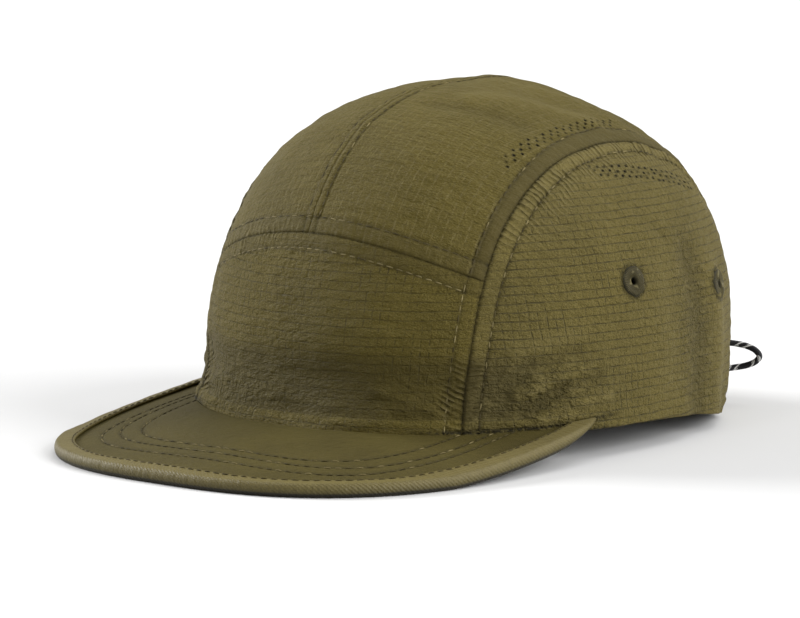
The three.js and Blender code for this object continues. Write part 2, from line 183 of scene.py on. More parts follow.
# Folds of the crown's cloth: start, end, width and depth, which is in if negative
SIDE_FOLDS = [
    ((77.5, 25, 60), (80.8, 25, 8), 7.0, -2.0),
    ((76, 41, 52), (77, 42, 8), 5.0, 1.1),
    ((80, 5, 58), (82, 3, 20), 7.0, 0.6),
    ((61.1, -63.3, 21.5), (68, -51.5, 30.9), 2.8, -1.7),
    ((68, -51.5, 30.9), (74.8, -36.2, 34.6), 2.4, -1.1),
    ((67.8, -54.9, 16.6), (74.3, -40.8, 23.5), 2.6, -2.4),
    ((74.3, -40.8, 23.5), (78, -29, 25.5), 2.2, -1.2),
    ((66, -57, 21.5), (75.2, -38.3, 27.2), 1.6, 1.0),
    ((70, -51, 12.5), (79.5, -27, 19.5), 2.6, 0.9),
    ((66, -56, 36), (76, -36, 39), 3.5, 0.7),
    ((70.5, 3.5, 74), (74.8, 14, 65.5), 2.4, -0.6),
]
FRONT_FOLDS = [
    ((0, -92, 17), (50, -72, 17), 6.0, -3.0),
    ((0, -92, 24), (50, -72, 24), 9.0, -3.2),
    ((50, -72, 22), (60, -62, 22), 7.0, -1.6),
    ((30, -86, 24), (48, -76, 17), 1.5, 0.8),
    ((22, -89, 20), (42, -81, 19), 1.3, -0.7),
]
TOP_FOLDS = [               # only on the wearer's left
    ((20, -22, 111), (42, 15, 102.5), 4.2, 1.15),
    ((16, -33, 110), (39, -19, 103.5), 4.2, -0.9),
    ((13, 39, 113), (37, 47, 98), 7.0, -1.2),
    ((8, 4, 115.5), (30, 26, 108), 4.0, 0.5),
]


def to_frame(points):
    """Crown millimetres to metres in the shared frame, whose origin is under the cap's middle."""
    points = np.asarray(points, float)
    return (points + np.array((0, FRAME_SHIFT, 0))) / 1000


def stack(*parts):
    """Points or masks from their parts, which may be numbers."""
    return np.stack(np.broadcast_arrays(*parts), -1)


def lerp(low, high, share):
    return low + (high - low) * share


def signed_power(value, exponent):
    return np.sign(value) * np.abs(value) ** exponent


def smooth_step(low, high, value):
    share = np.clip((value - low) / (high - low), 0, 1)
    return share * share * (3 - 2 * share)


def unit(vectors):
    return vectors / np.maximum(np.linalg.norm(vectors, axis=-1, keepdims=True), 1e-9)


def lengths(points, axis=0):
    """Lengths along lines of points, up to each of them."""
    steps = np.linalg.norm(np.diff(points, axis=axis), axis=-1)
    return np.insert(np.cumsum(steps, axis), 0, 0, axis)


def crossing(test, low, high):
    """The value between two at which a test changes its answer."""
    after = test(high)
    for _ in range(40):
        middle = (low + high) / 2
        if test(middle) == after:
            high = middle
        else:
            low = middle
    return low


# The crown's surface

def rim_height(angle):
    share = np.clip((np.abs(angle) - RIM_FALLS_FROM) / (RIM_FLAT_FROM - RIM_FALLS_FROM), 0, 1)
    return RIM_RISE * 0.5 * (1 + np.cos(np.pi * share))


def tuck_scale(angle, above_rim):
    back = np.clip((TUCK_START - np.cos(angle)) / (1 + TUCK_START), 0, 1)
    return 1 - TUCK_SHARE * back * np.exp(-((above_rim / TUCK_HEIGHT) ** 2))


def rim_point(angle, out=0):
    """Points of the rim at angles from the front, moved straight out by a distance."""
    rounds = np.where(np.cos(angle) > 0, PLAN_ROUND_FRONT, PLAN_ROUND_BACK)
    scale = tuck_scale(angle, 0)
    across = signed_power(np.sin(angle), 2 / rounds)
    along = -signed_power(np.cos(angle), 2 / rounds)
    normal = unit(stack(
        signed_power(across, rounds - 1) / CROWN_HALF_WIDTH,
        signed_power(along, rounds - 1) / CROWN_HALF_LENGTH,
    ))
    x = CROWN_HALF_WIDTH * scale * across + normal[..., 0] * out
    y = CROWN_HALF_LENGTH * scale * along + normal[..., 1] * out
    return stack(x, y, rim_height(angle))


def plan_reach(across, along):
    """How far out places lie in the plan outline, and the share of that which is fore and aft."""
    rounds = np.where(along < 0, PLAN_ROUND_FRONT, PLAN_ROUND_BACK)
    reach = (np.abs(across) ** rounds + np.abs(along) ** rounds) ** (1 / rounds)
    return reach, (np.abs(along) / np.maximum(reach, 1e-9)) ** rounds


def plan_angle(x, y):
    along_part = plan_reach(x / CROWN_HALF_WIDTH, y / CROWN_HALF_LENGTH)[1]
    return np.arccos(np.clip(-np.sign(y) * np.sqrt(along_part), -1, 1))


def crown_level(points):
    """Below zero inside the crown's outer surface, zero on it and above zero outside."""
    x, y, z = points[..., 0], points[..., 1], points[..., 2]
    angle = plan_angle(x, y)
    rim = rim_height(angle)
    rise = np.maximum(0, (z - rim) / (CROWN_HEIGHT - rim))
    across = x / (CROWN_HALF_WIDTH * (1 - SIDE_LEAN * np.minimum(rise, 1)))
    along = (y - TOP_SHIFT * rise) / CROWN_HALF_LENGTH
    reach, along_part = plan_reach(across, along)
    reach = reach / tuck_scale(angle, np.maximum(0, z - rim))
    end_round = np.where(along < 0, FRONT_ROUND, BACK_ROUND)
    exponent = SIDE_ROUND + (end_round - SIDE_ROUND) * along_part
    tip = TIP_RADIUS_SHARE ** exponent
    full = (1 + TIP_RADIUS_SHARE ** 2) ** (exponent / 2) - tip
    outward = ((reach ** 2 + TIP_RADIUS_SHARE ** 2) ** (exponent / 2) - tip) / full
    return outward + rise ** RISE_ROUND - 1


def outward_at(points):
    """Unit vectors out of the crown's surface."""
    step = 0.05
    slopes = []
    for axis in np.eye(3) * step:
        slopes.append(crown_level(points + axis) - crown_level(points - axis))
    return unit(np.stack(slopes, -1))


def through_crown(path, shape):
    """Points where paths that start inside the crown pass through its surface."""
    inside = np.zeros(shape)
    outside = np.full(shape, 2.0 * CROWN_HALF_LENGTH + CROWN_HEIGHT)
    for _ in range(34):
        middle = (inside + outside) / 2
        within = crown_level(path(middle)) < 0
        inside = np.where(within, middle, inside)
        outside = np.where(within, outside, middle)
    return path((inside + outside) / 2)


def side_seam_at(y):
    share = smooth_step(SEAM_BEND_START, SEAM_BEND_END, y / CROWN_HALF_LENGTH)
    return lerp(SIDE_SEAM_FRONT, SIDE_SEAM_BACK, share)


def front_seam_at(x):
    return FRONT_SEAM_HEIGHT - FRONT_SEAM_DROP * (x / SIDE_SEAM_FRONT) ** 2


def over_crown(slice_at, angle):
    """Points in fore-and-aft slices, at angles that go from the front over the top to the back."""
    def path(distance):
        y = RAY_BEHIND_MIDDLE - distance * np.cos(angle)
        return stack(slice_at(y), y, distance * np.sin(angle))
    return through_crown(path, np.shape(angle))


def front_crown(slice_at, height):
    """Points in fore-and-aft slices, straight in front of the middle at heights."""
    def path(distance):
        y = RAY_BEHIND_MIDDLE - distance
        return stack(slice_at(y), y, height)
    return through_crown(path, np.shape(height))


def side_crown(y, z):
    """Points straight out to the left."""
    return through_crown(lambda distance: stack(distance, y, z), np.shape(y))


def angle_of(points):
    return np.arctan2(points[..., 2], RAY_BEHIND_MIDDLE - points[..., 1])


# Relief of the cloth

def waves(points, wavelength, seed, count=9):
    """Smooth noise around zero: a sum of plane waves with seeded directions."""
    chooser = np.random.default_rng(seed)
    total = np.zeros(points.shape[:-1])
    for _ in range(count):
        direction = unit(chooser.normal(size=3))
        length = wavelength * chooser.uniform(0.7, 1.5)
        phase = chooser.uniform(0, 2 * np.pi)
        total += np.sin(points @ direction * 2 * np.pi / length + phase)
    return total / math.sqrt(count)


def distance_to_segment(points, start, end):
    start, end = np.array(start, float), np.array(end, float)
    along = end - start
    share = np.clip((points - start) @ along / (along @ along), 0, 1)
    return np.linalg.norm(points - (start + share[..., None] * along), axis=-1)


def fold_relief(points):
    """Relief of the folds, in if negative."""
    mirrored = points.copy()
    mirrored[..., 0] = np.abs(mirrored[..., 0])
    crest = np.zeros(points.shape[:-1])
    valley = np.zeros(points.shape[:-1])
    for folds, places in ((SIDE_FOLDS, mirrored), (FRONT_FOLDS, mirrored), (TOP_FOLDS, points)):
        for start, end, width, depth in folds:
            relief = depth * groove(distance_to_segment(places, start, end), width)
            crest = np.maximum(crest, relief)
            valley = np.minimum(valley, relief)
    return crest + valley


def gather_relief(points):
    """Gathers that the drawcord makes around the back of the rim."""
    angle = np.arctan2(points[..., 0], -points[..., 1])
    back = np.clip(-np.cos(angle), 0, 1)
    fade = np.exp(-((points[..., 2] / 24) ** 2))
    uneven = 22 * angle + 0.8 * np.sin(5 * angle) + 0.5 * np.sin(11 * angle + points[..., 2] / 9)
    return back * fade * (0.62 * np.cos(uneven) + 0.2 * np.cos(2.3 * uneven))


def ridge(distance, width, edge=0.5):
    """One inside a band from 0 to a width, falling to zero over its edges."""
    return smooth_step(-edge, 0, distance) * (1 - smooth_step(width - edge / 2, width + edge / 2, distance))


def groove(distance, width):
    return np.exp(-((distance / width) ** 2))


def puckers(along, away, pitch, reach, seed):
    """Small ridges square to a seam, that fade with the distance from it."""
    chooser = np.random.default_rng(seed)
    phase = np.zeros(along.shape)
    for turns in (0.013, 0.031, 0.057):
        phase += 2.2 * np.sin(along * turns * 2 * np.pi + chooser.uniform(0, 2 * np.pi))
    strength = 0.55 + 0.45 * np.sin(along / (pitch * 3.3) + chooser.uniform(0, 2 * np.pi))
    return strength * np.cos(2 * np.pi * along / pitch + phase) * np.exp(-((away / reach) ** 2))


def top_stitch_inset(y):
    """Distance of the top panels' outer stitch row from the side seam."""
    return lerp(TOP_SIDE_STITCH_FRONT, TOP_SIDE_STITCH_BACK, smooth_step(-60, 20, y))


def around_eyelets(points):
    """One on the eyelets' edges, falling to zero beside them."""
    x, y, z = np.abs(points[..., 0]), points[..., 1], points[..., 2]
    total = np.zeros(x.shape)
    for along, up in EYELETS.values():
        centre = eyelet_point(along, up, 1)
        away = np.linalg.norm(stack(x, y, z) - centre, axis=-1)
        total += groove(away - EYELET_RADIUS - 0.3, 0.8)
    return total


def cloth_relief(points):
    """How far the cloth stands out, and its masks: smooth; dark, the seam bands' own darker tone together
    with painted shade; light, a painted highlight; and painted shade in creases, stitch rows, round the
    eyelets and under the front hem;
    then how much it puckers along the side seam and across, the run that the first puckers follow, and how
    crumpled it is."""
    x, y, z = np.abs(points[..., 0]), points[..., 1], points[..., 2]
    from_side = x - side_seam_at(y)
    from_front = z - front_seam_at(x)
    over = angle_of(points) * 96
    is_side = from_side > 0
    is_front = (~is_side) & (from_front < 0) & (y < RAY_BEHIND_MIDDLE)
    is_top = (~is_side) & (~is_front)
    above_rim = z - rim_height(plan_angle(points[..., 0], y))
    near_front = np.where(y < -20, 1.0, 0.0)

    folds = fold_relief(points)
    depth = folds + gather_relief(points)
    for height, wavelength, seed, closer in CLOTH_WAVES:
        depth += height * waves(points * closer, wavelength, seed)

    inset = top_stitch_inset(y)
    top_band = ridge(-from_side, inset) * is_top
    centre_band = ridge(x, CENTRE_STITCH) * is_top
    upper_band = ridge(from_front, FRONT_UPPER_STITCH) * is_top * near_front
    lower_band = ridge(-from_front, FRONT_LOWER_STITCH) * is_front
    front_side_band = ridge(-from_side, FRONT_SIDE_STITCH) * is_front
    side_band = ridge(from_side, SIDE_STITCH) * is_side
    depth += 0.35 * np.maximum(top_band, np.maximum(upper_band, centre_band))
    depth += 0.3 * np.maximum(lower_band, front_side_band) + 0.32 * side_band

    hem = 1 - smooth_step(HEM_HEIGHT - 0.5, HEM_HEIGHT + 0.6, above_rim)
    depth += 0.9 * hem * near_front + 0.4 * hem * (1 - near_front)
    depth -= 2.6 * np.exp(-((above_rim / 4.5) ** 2)) * smooth_step(40, 72, y)

    rows = groove(from_side + inset, 0.55) * is_top + groove(x - CENTRE_STITCH, 0.5) * is_top
    rows += groove(from_front - FRONT_UPPER_STITCH, 0.5) * is_top * near_front
    rows += groove(from_front + FRONT_LOWER_STITCH, 0.5) * is_front
    rows += groove(from_side + FRONT_SIDE_STITCH, 0.5) * is_front
    rows += groove(from_side - SIDE_STITCH, 0.55) * is_side
    depth -= 0.28 * rows

    creases = groove(from_side, 0.45) + 0.7 * groove(from_front, 0.45) * near_front * (~is_side)
    creases += 0.35 * groove(x, 0.35) * is_top
    creases = np.clip(creases, 0, 1)
    depth -= 0.5 * creases

    low = np.exp(-(((z - 20) / 9) ** 2)) * near_front
    arch = smooth_step(60, 84, z)
    depth += (0.1 + 0.3 * arch) * puckers(over, from_side - 2.2, 4.3, 4.6, 12) * is_side
    depth += 0.09 * puckers(over, from_side + 2, 5.2, 5, 13) * is_top
    depth += 0.12 * puckers(points[..., 0], from_front, 3.6, 6, 14) * near_front * (~is_side)
    depth += 0.07 * puckers(over, x, 4.7, 5, 15) * is_top
    left_corner = np.exp(-(((points[..., 0] + 36) / 13) ** 2)) * near_front
    depth += 0.08 * left_corner * puckers(points[..., 0], above_rim - 9, 2.4, 5.5, 16) * is_front

    # Painted shade: the low front above the hem and the fold valleys are darkened through the dark mask,
    # which also holds the seam bands' own darker tone.
    shaded = (1 - smooth_step(31, 37, z)) * (1 - hem) * (1 - smooth_step(-62, -40, y))
    smooth = np.clip(top_band + 0.55 * side_band + 0.35 * (upper_band + lower_band), 0, 1)
    smooth = np.maximum(smooth, 0.45 * front_side_band)
    fold_valley_shade = np.clip(-folds / 1.6, 0, 1) * (1 - is_front)
    dark = 0.95 * top_band + 0.45 * np.maximum(upper_band, lower_band) + 0.7 * shaded + 0.75 * fold_valley_shade
    dark = np.clip(dark, 0, 1)
    # Painted highlight below the side panels' arch and on the fold crests.
    below_arch_highlight = np.exp(-((np.maximum(from_side, 0) / 12) ** 2)) * is_side * arch
    light = np.clip(0.6 * below_arch_highlight + np.clip(folds, 0, 1) * 0.8, 0, 1)
    # Painted shadow in the gap under the front hem, and painted shade in the seam creases, the stitch rows
    # and round the eyelets.
    above_board = z - peak_height(x, y) - BINDING_WALL - PIECE_GAP - PEAK_THICKNESS
    above_gap = np.minimum(np.abs(above_rim), np.abs(above_board - 0.4))
    under_hem_shadow = np.exp(-((above_gap / 0.8) ** 2)) * smooth_step(-86, -74, y) * (1 - smooth_step(-30, -18, y))
    crease_shade = 0.75 * creases + 0.5 * rows + 0.9 * around_eyelets(points) * is_side + under_hem_shadow
    crease_shade = np.clip(crease_shade, 0, 1)

    low_side = np.exp(-(((from_side - 1.6) / 3.0) ** 2)) * is_side
    low_front = np.exp(-(((from_side + 2.0) / 3.2) ** 2)) * (~is_side)
    arch_side = np.exp(-((np.maximum(from_side - 3, 0) / 5.5) ** 2)) * is_side
    along_seam = 1.5 * low * (low_side + low_front) + arch * arch_side * 0.7
    along_seam += 0.08 * low_side + 0.06 * low_front
    left_share = 1 - smooth_step(-22, 2, points[..., 0])
    across = np.exp(-((from_front / 4.5) ** 2)) * near_front * (~is_side) * (0.1 + 0.25 * left_share)
    across += 0.35 * left_corner * np.exp(-(((above_rim - 10) / 5.5) ** 2)) * is_front
    tilted = over + np.where(is_side, -1.0, 0.6) * from_side * low
    low_crumple = np.exp(-(((z - 22) / 12) ** 2) - ((y + 44) / 17) ** 2)
    rear_crumple = np.exp(-(((y - 24) / 15) ** 2) - ((z - 42) / 30) ** 2)
    front_crumple = 0.5 * np.exp(-(((z - 20) / 10) ** 2)) * (0.4 + 0.6 * left_share)
    crumpled = np.where(is_side, np.maximum(low_crumple, 0.8 * rear_crumple), front_crumple * is_front)
    masks = stack(smooth, dark, light, crease_shade, along_seam, across, tilted, crumpled)
    return depth, masks


# Making meshes

def new_object(name, mesh, material):
    thing = bpy.data.objects.new(name, mesh)
    bpy.context.scene.collection.objects.link(thing)
    mesh.materials.append(material)
    return thing


def new_piece(name, mesh, material, node=None):
    """A piece of the cap that takes its finish from a slot and may stand for a node."""
    piece = new_object(name, mesh, material)
    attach(piece, "root")
    if node:
        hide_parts(node)
    return piece


def make_mesh(name, places, faces, uvs=None, masks=None):
    """A smooth mesh from frame millimetres, with cloth coordinates and finish masks at its points."""
    mesh = bpy.data.meshes.new(name)
    mesh.from_pydata(to_frame(places).tolist(), [], [list(map(int, face)) for face in faces])
    mesh.update()
    mesh.shade_smooth()
    if uvs is not None:
        layer = mesh.uv_layers.new(name="cloth")
        corners = np.empty(len(mesh.loops), int)
        mesh.loops.foreach_get("vertex_index", corners)
        layer.data.foreach_set("uv", np.asarray(uvs, float)[corners].ravel())
    if masks is not None:
        for name, first in (("finish", 0), ("gathers", 4)):
            values = np.asarray(masks, float)[:, first:first + 4]
            if values.shape[1]:
                colours = np.ones((len(places), 4))
                colours[:, :values.shape[1]] = values
                attribute = mesh.attributes.new(name, "FLOAT_COLOR", "POINT")
                attribute.data.foreach_set("color", colours.ravel())
    mesh.validate()
    return mesh


def grid_faces(rows, columns, start=0, flip=False, removed=()):
    """Quads of a grid whose points are stored row after row."""
    faces = []
    for row in range(rows - 1):
        for column in range(columns - 1):
            if (row, column) in removed:
                continue
            a = start + row * columns + column
            quad = [a, a + 1, a + columns + 1, a + columns]
            faces.append(quad[::-1] if flip else quad)
    return faces


def tube_faces(rings, sides, closed=False):
    """Faces of a tube whose rings are stored one after another, joined end to end or with flat ends."""
    faces = []
    for ring in range(rings if closed else rings - 1):
        here, after = ring * sides, (ring + 1) % rings * sides
        for side in range(sides):
            beside = (side + 1) % sides
            faces.append([here + side, here + beside, after + beside, after + side])
    if not closed:
        faces.append(list(range(sides))[::-1])
        faces.append([(rings - 1) * sides + side for side in range(sides)])
    return faces


def rectangle(top, left, bottom, right):
    """Grid places around a rectangle of cells, in order."""
    places = [(top, column) for column in range(left, right)]
    places += [(row, right) for row in range(top, bottom)]
    places += [(bottom, column) for column in range(right, left, -1)]
    places += [(row, left) for row in range(bottom, top, -1)]
    return places


def pierced_wall(outer, inner, uvs, masks, holes):
    """Points and faces of a cloth wall between two grids, with round holes through it."""
    rows, columns = outer.shape[:2]
    count = rows * columns
    places = [outer.reshape(-1, 3), inner.reshape(-1, 3)]
    all_uvs = [uvs.reshape(-1, 2)] * 2
    all_masks = [masks.reshape(-1, masks.shape[-1])] * 2
    removed = set()
    extra_faces = []
    used = 2 * count
    for hole in holes:
        gap = np.linalg.norm(outer - hole["centre"], axis=-1)
        row, column = np.unravel_index(np.argmin(gap), gap.shape)
        reach = hole["reach"]
        if min(row, column, rows - 1 - row, columns - 1 - column) < reach:
            continue
        cells = {(row + i, column + j) for i in range(-reach, reach) for j in range(-reach, reach)}
        if cells & removed:
            continue
        removed |= cells
        ring = rectangle(row - reach, column - reach, row + reach, column + reach)
        nudge = hole["centre"] - outer[row, column]
        nudge *= min(1, hole["radius"] * 0.4 / max(np.linalg.norm(nudge), 1e-9))
        ring_masks = np.repeat(masks[row, column][None], len(ring), 0)
        # Painted shade at the holes' edges: their rims take the fourth mask in full.
        ring_masks[:, 3] = 1
        for skin in (outer, inner):
            middle = skin[row, column]
            spokes = np.array([skin[place] - middle for place in ring])
            places.append(middle + nudge + unit(spokes) * hole["radius"])
            all_uvs.append(np.repeat(uvs[row, column][None], len(ring), 0))
            all_masks.append(ring_masks)
        for i, place in enumerate(ring):
            j = (i + 1) % len(ring)
            a = place[0] * columns + place[1]
            b = ring[j][0] * columns + ring[j][1]
            c, d = used + i, used + j
            e, f = c + len(ring), d + len(ring)
            extra_faces += [[a, b, d, c], [e, f, b + count, a + count], [c, d, f, e]]
        used += 2 * len(ring)
    faces = grid_faces(rows, columns, 0, False, removed)
    faces += grid_faces(rows, columns, count, True, removed)
    faces += extra_faces
    border = [row * columns + column for row, column in rectangle(0, 0, rows - 1, columns - 1)]
    for a, b in zip(border, border[1:] + border[:1]):
        faces.append([a, a + count, b + count, b])
    places = np.concatenate(places)
    return drop_loose(places, faces, np.concatenate(all_uvs), np.concatenate(all_masks))


def wall_piece(outer, inner, uvs, masks, holes, material, node):
    """The piece of cloth that stands for a node."""
    places, faces, uvs, masks = pierced_wall(outer, inner, uvs, masks, holes)
    name = f"{node}_cloth"
    mesh = make_mesh(name, places, turned_outwards(places, faces), uvs, masks)
    new_piece(name, mesh, material, node)


def drop_loose(places, faces, uvs, masks):
    """Leaves out the points that no face uses."""
    kept = np.unique([corner for face in faces for corner in face])
    renumber = np.zeros(len(places), int)
    renumber[kept] = np.arange(len(kept))
    faces = [[int(renumber[corner]) for corner in face] for face in faces]
    return places[kept], faces, uvs[kept], masks[kept]


def turned_outwards(places, faces):
    """Flips every face if the closed surface would be inside out, judged by its quads."""
    centred = places - places.mean(axis=0)
    a, b, c, d = centred[np.array([face for face in faces if len(face) == 4])].transpose(1, 0, 2)
    volume = np.sum(a * np.cross(b, c)) + np.sum(a * np.cross(c, d))
    return faces if volume > 0 else [face[::-1] for face in faces]


def surface_uv(points):
    """Cloth coordinates in millimetres: the lengths along a grid's rows and up its columns."""
    u, v = lengths(points, 1), lengths(points)
    u = u - u[:, points.shape[1] // 2][:, None]
    return stack(u, v)


def dressed_panel(crown_points, uvs, holes, material, node):
    """One panel of the crown: a cloth wall with its relief, holes and finish masks."""
    outward = outward_at(crown_points)
    depth, masks = cloth_relief(crown_points)
    depth = np.clip(depth, DEEPEST, PROUDEST)
    outer = crown_points + outward * depth[..., None]
    inner = crown_points + outward * (depth * 0.9 - CLOTH_THICKNESS)[..., None]
    above = crown_points[..., 2] - rim_height(plan_angle(crown_points[..., 0], crown_points[..., 1]))
    at_rim = above < CLOTH_THICKNESS / 2
    outer[..., 2] = np.where(at_rim, crown_points[..., 2], outer[..., 2])
    inner[..., 2] = np.where(at_rim, crown_points[..., 2], inner[..., 2])
    wall_piece(outer, inner, uvs, masks, holes, material, node)


def even_share(points):
    """For each column, the row shares that space its points evenly."""
    length = lengths(points)
    share = np.linspace(0, 1, points.shape[0])
    even = np.empty_like(length)
    for column in range(points.shape[1]):
        even[:, column] = np.interp(share * length[-1, column], length[:, column], share)
    return even


def vent_holes(field, side):
    """A slanting field of vent holes that follows the side seam."""
    holes = []
    for row in range(VENT_ROWS):
        row_step = row - (VENT_ROWS - 1) / 2
        share = (np.arange(field["columns"]) + row_step * field["slant"]) / (field["columns"] - 1)
        degrees = lerp(field["start"], field["end"], share)
        bend = ((degrees - field["bends_at"]) / field["bend"]) ** 2
        out = field["out"] - bend + row_step * field["row_pitch"]
        angles = np.radians(degrees)
        centres = over_crown(lambda y: side * (side_seam_at(y) + out), angles)
        holes += [{"centre": centre, "radius": VENT_RADIUS, "reach": 1} for centre in centres]
    return holes


def front_panel(material):
    rows, columns = FRONT_GRID
    share, up = np.meshgrid(np.linspace(-1, 1, columns), np.linspace(0, 1, rows))
    def slice_at(y):
        return share * (side_seam_at(y) - SEAM_GAP / 2)
    top = front_crown(slice_at, np.full(share.shape, float(FRONT_SEAM_HEIGHT)))
    seam = front_seam_at(top[..., 0]) - SEAM_GAP / 2
    points = front_crown(slice_at, lerp(RIM_RISE, seam, up))
    uvs = surface_uv(points)
    uvs[..., 1] = points[..., 2]
    dressed_panel(points, uvs, [], material, "front_panel")


def top_panel(hand, side, material):
    rows, columns = TOP_GRID
    share, back = np.meshgrid(np.linspace(0, 1, columns), np.linspace(0, 1, rows))
    def slice_at(y):
        return side * lerp(SEAM_GAP / 2, side_seam_at(y) - SEAM_GAP / 2, share)
    low = front_crown(slice_at, np.full(share.shape, float(FRONT_SEAM_HEIGHT)))
    start = angle_of(front_crown(slice_at, front_seam_at(low[..., 0]) + SEAM_GAP / 2))
    rough = over_crown(slice_at, lerp(start, np.pi, back))
    points = over_crown(slice_at, lerp(start, np.pi, even_share(rough)))
    uvs = surface_uv(points)
    uvs[..., 0] = points[..., 0]
    dressed_panel(points, uvs, vent_holes(TOP_VENTS, side), material, f"top_panel_{hand}")


def rim_angle_at_seam(low, high):
    """The rim's angle at which it passes the side seam, looked for between two angles."""
    def outside_seam(angle):
        point = rim_point(np.array(angle))
        return point[0] > side_seam_at(point[1]) + SEAM_GAP / 2
    return crossing(outside_seam, low, high)


def side_points(rows, columns):
    """Grid of crown points of the left side panel, from the rim up to its arch."""
    front, back = rim_angle_at_seam(0, np.pi / 2), rim_angle_at_seam(np.pi / 2, np.pi)
    share = np.linspace(0, 1, columns)
    rim = rim_point(lerp(front, back, share))
    arch_angles = lerp(angle_of(rim[0]), angle_of(rim[-1]), share)
    arch = over_crown(lambda y: side_seam_at(y) + SEAM_GAP / 2, arch_angles)
    up = np.repeat(np.linspace(0, 1, rows)[:, None], columns, 1)
    for _ in range(2):
        y = lerp(rim[:, 1], arch[:, 1], up)
        z = lerp(rim[:, 2], arch[:, 2], up)
        points = side_crown(y, z)
        up = even_share(points)
    points[0] = rim
    points[-1] = arch
    points[:, 0] = rim[0]
    points[:, -1] = rim[-1]
    return points


def side_uv(points):
    """Level and upright cloth coordinates: lengths round the crown and up its wall."""
    height = points[..., 2]
    v = np.zeros(height.shape)
    last = side_crown(points[..., 1], np.full(height.shape, UV_START))
    for step in np.linspace(0, 1, 8)[1:]:
        here = side_crown(points[..., 1], lerp(UV_START, height, step))
        v += np.linalg.norm(here - last, axis=-1)
        last = here
    u = points[..., 1] * 1.04
    return stack(u, v)


def side_panel(hand, side, points, uvs, material):
    points = points * np.array((side, 1, 1))
    holes = vent_holes(SIDE_VENTS, side)
    for along, up in EYELETS.values():
        centre = eyelet_point(along, up, side)
        holes.append({"centre": centre, "radius": EYELET_CLOTH_HOLE, "reach": 5})
    dressed_panel(points, uvs, holes, material, f"side_panel_{hand}")


def eyelet_point(along, up, side):
    point = side_crown(np.array(along * CROWN_HALF_LENGTH), np.array(up * CROWN_HEIGHT))
    return point * np.array((side, 1, 1))


def eyelet(place, along, up, hand, side, material):
    """A sewn eyelet: threads laid side by side from the hole to the edge, on both faces of the cloth."""
    turns = EYELET_THREADS * 6
    point = eyelet_point(along, up, side)
    outward = outward_at(point)
    depth = float(cloth_relief(point[None])[0][0])
    middle = point + outward * (np.clip(depth, DEEPEST, PROUDEST) - CLOTH_THICKNESS / 2)
    across = unit(np.cross(outward, (0, 0, 1)))
    upward = np.cross(across, outward)
    theta = np.linspace(0, 2 * np.pi, turns, endpoint=False)
    half = CLOTH_THICKNESS / 2 + EYELET_PROUD
    places, levels = [], []
    for face in (1, -1):
        for ring in range(EYELET_RINGS):
            share = ring / (EYELET_RINGS - 1)
            share = share if face == 1 else 1 - share
            dome = math.sqrt(max(0.0, 1 - (2 * share - 1) ** 4))
            ripple = 0.1 * np.cos(theta * EYELET_THREADS) * dome
            uneven = 0.12 * np.sin(theta * 3 + 1) + 0.08 * np.sin(theta * 7)
            radius = lerp(EYELET_HOLE_RADIUS, EYELET_RADIUS, share) + (uneven + ripple) * share
            height = face * (half * (0.35 + 0.65 * dome) + ripple)
            spokes = np.cos(theta)[:, None] * across + np.sin(theta)[:, None] * upward
            places.append(middle + spokes * radius[:, None] + outward * height[:, None])
            levels.append(stack(share, 0.5 + 0.5 * np.cos(theta * EYELET_THREADS), theta))
    places = np.concatenate(places)
    faces = turned_outwards(places, tube_faces(2 * EYELET_RINGS, turns, True))
    node = f"eyelet_{place}_{hand}"
    name = f"{node}_threads"
    mesh = make_mesh(name, places, faces, masks=np.concatenate(levels))
    new_piece(name, mesh, material, node)


# The peak and its binding

def peak_curve(share, side_inset, front_inset, rounding):
    """Plan places on a curve inside the peak, from one end (-1) over the front (0) to the other (1)."""
    angle = np.asarray(share, float) * np.pi
    length = np.where(np.cos(angle) > 0, PEAK_FRONT_LENGTH, PEAK_BACK_DEPTH) - front_inset
    x = (PEAK_HALF_WIDTH - side_inset) * signed_power(np.sin(angle), 2 / rounding)
    y = -PEAK_WIDEST - length * signed_power(np.cos(angle), 2 / rounding)
    return stack(x, y)


def peak_outline(share, inset):
    return peak_curve(share, inset, inset, PEAK_ROUND)


def peak_stitch_line(share, row):
    return peak_curve(share, row["side"], row["front"], PEAK_STITCH_ROUND)


def peak_height(x, y):
    fall = (-CROWN_HALF_LENGTH - y) / PEAK_LENGTH
    return np.maximum(0, PEAK_RISE * (1 - fall) - PEAK_ARCH * (x / PEAK_HALF_WIDTH) ** 2)


def clear_of_crown(place):
    across = place[..., 0] / (CROWN_HALF_WIDTH + PIECE_GAP)
    along = place[..., 1] / (CROWN_HALF_LENGTH + PIECE_GAP)
    return plan_reach(across, along)[0] > 1


def largest_that(holds, limit):
    """The largest value up to a limit for which a test still holds."""
    return limit if holds(limit) else crossing(holds, 0.0, limit)


def rim_angle_at(y):
    return largest_that(lambda angle: rim_point(np.array(angle), PIECE_GAP)[1] < y, np.pi / 2)


def board_surface(x, y):
    """Height of the peak's upper face, with the quilting that its stitch rows pull in."""
    top = peak_height(x, y) + BINDING_WALL + PIECE_GAP + PEAK_THICKNESS
    plan = stack(x, y, 0)
    return top + 0.10 * waves(plan, 30, 21) - 0.28 * quilting(x, y)


def quilting(x, y):
    """Grooves of the peak's stitch rows, found from how far in from its outline a place lies."""
    total = np.zeros(x.shape)
    for row in PEAK_STITCH_ROWS:
        length = np.where(y < -PEAK_WIDEST, PEAK_FRONT_LENGTH, PEAK_BACK_DEPTH) - row["front"]
        half = PEAK_HALF_WIDTH - row["side"]
        along = np.abs((y + PEAK_WIDEST) / length)
        reach = np.abs(x / half) ** PEAK_STITCH_ROUND + along ** PEAK_STITCH_ROUND
        total += groove((reach ** (1 / PEAK_STITCH_ROUND) - 1) * half, 0.6)
    return total


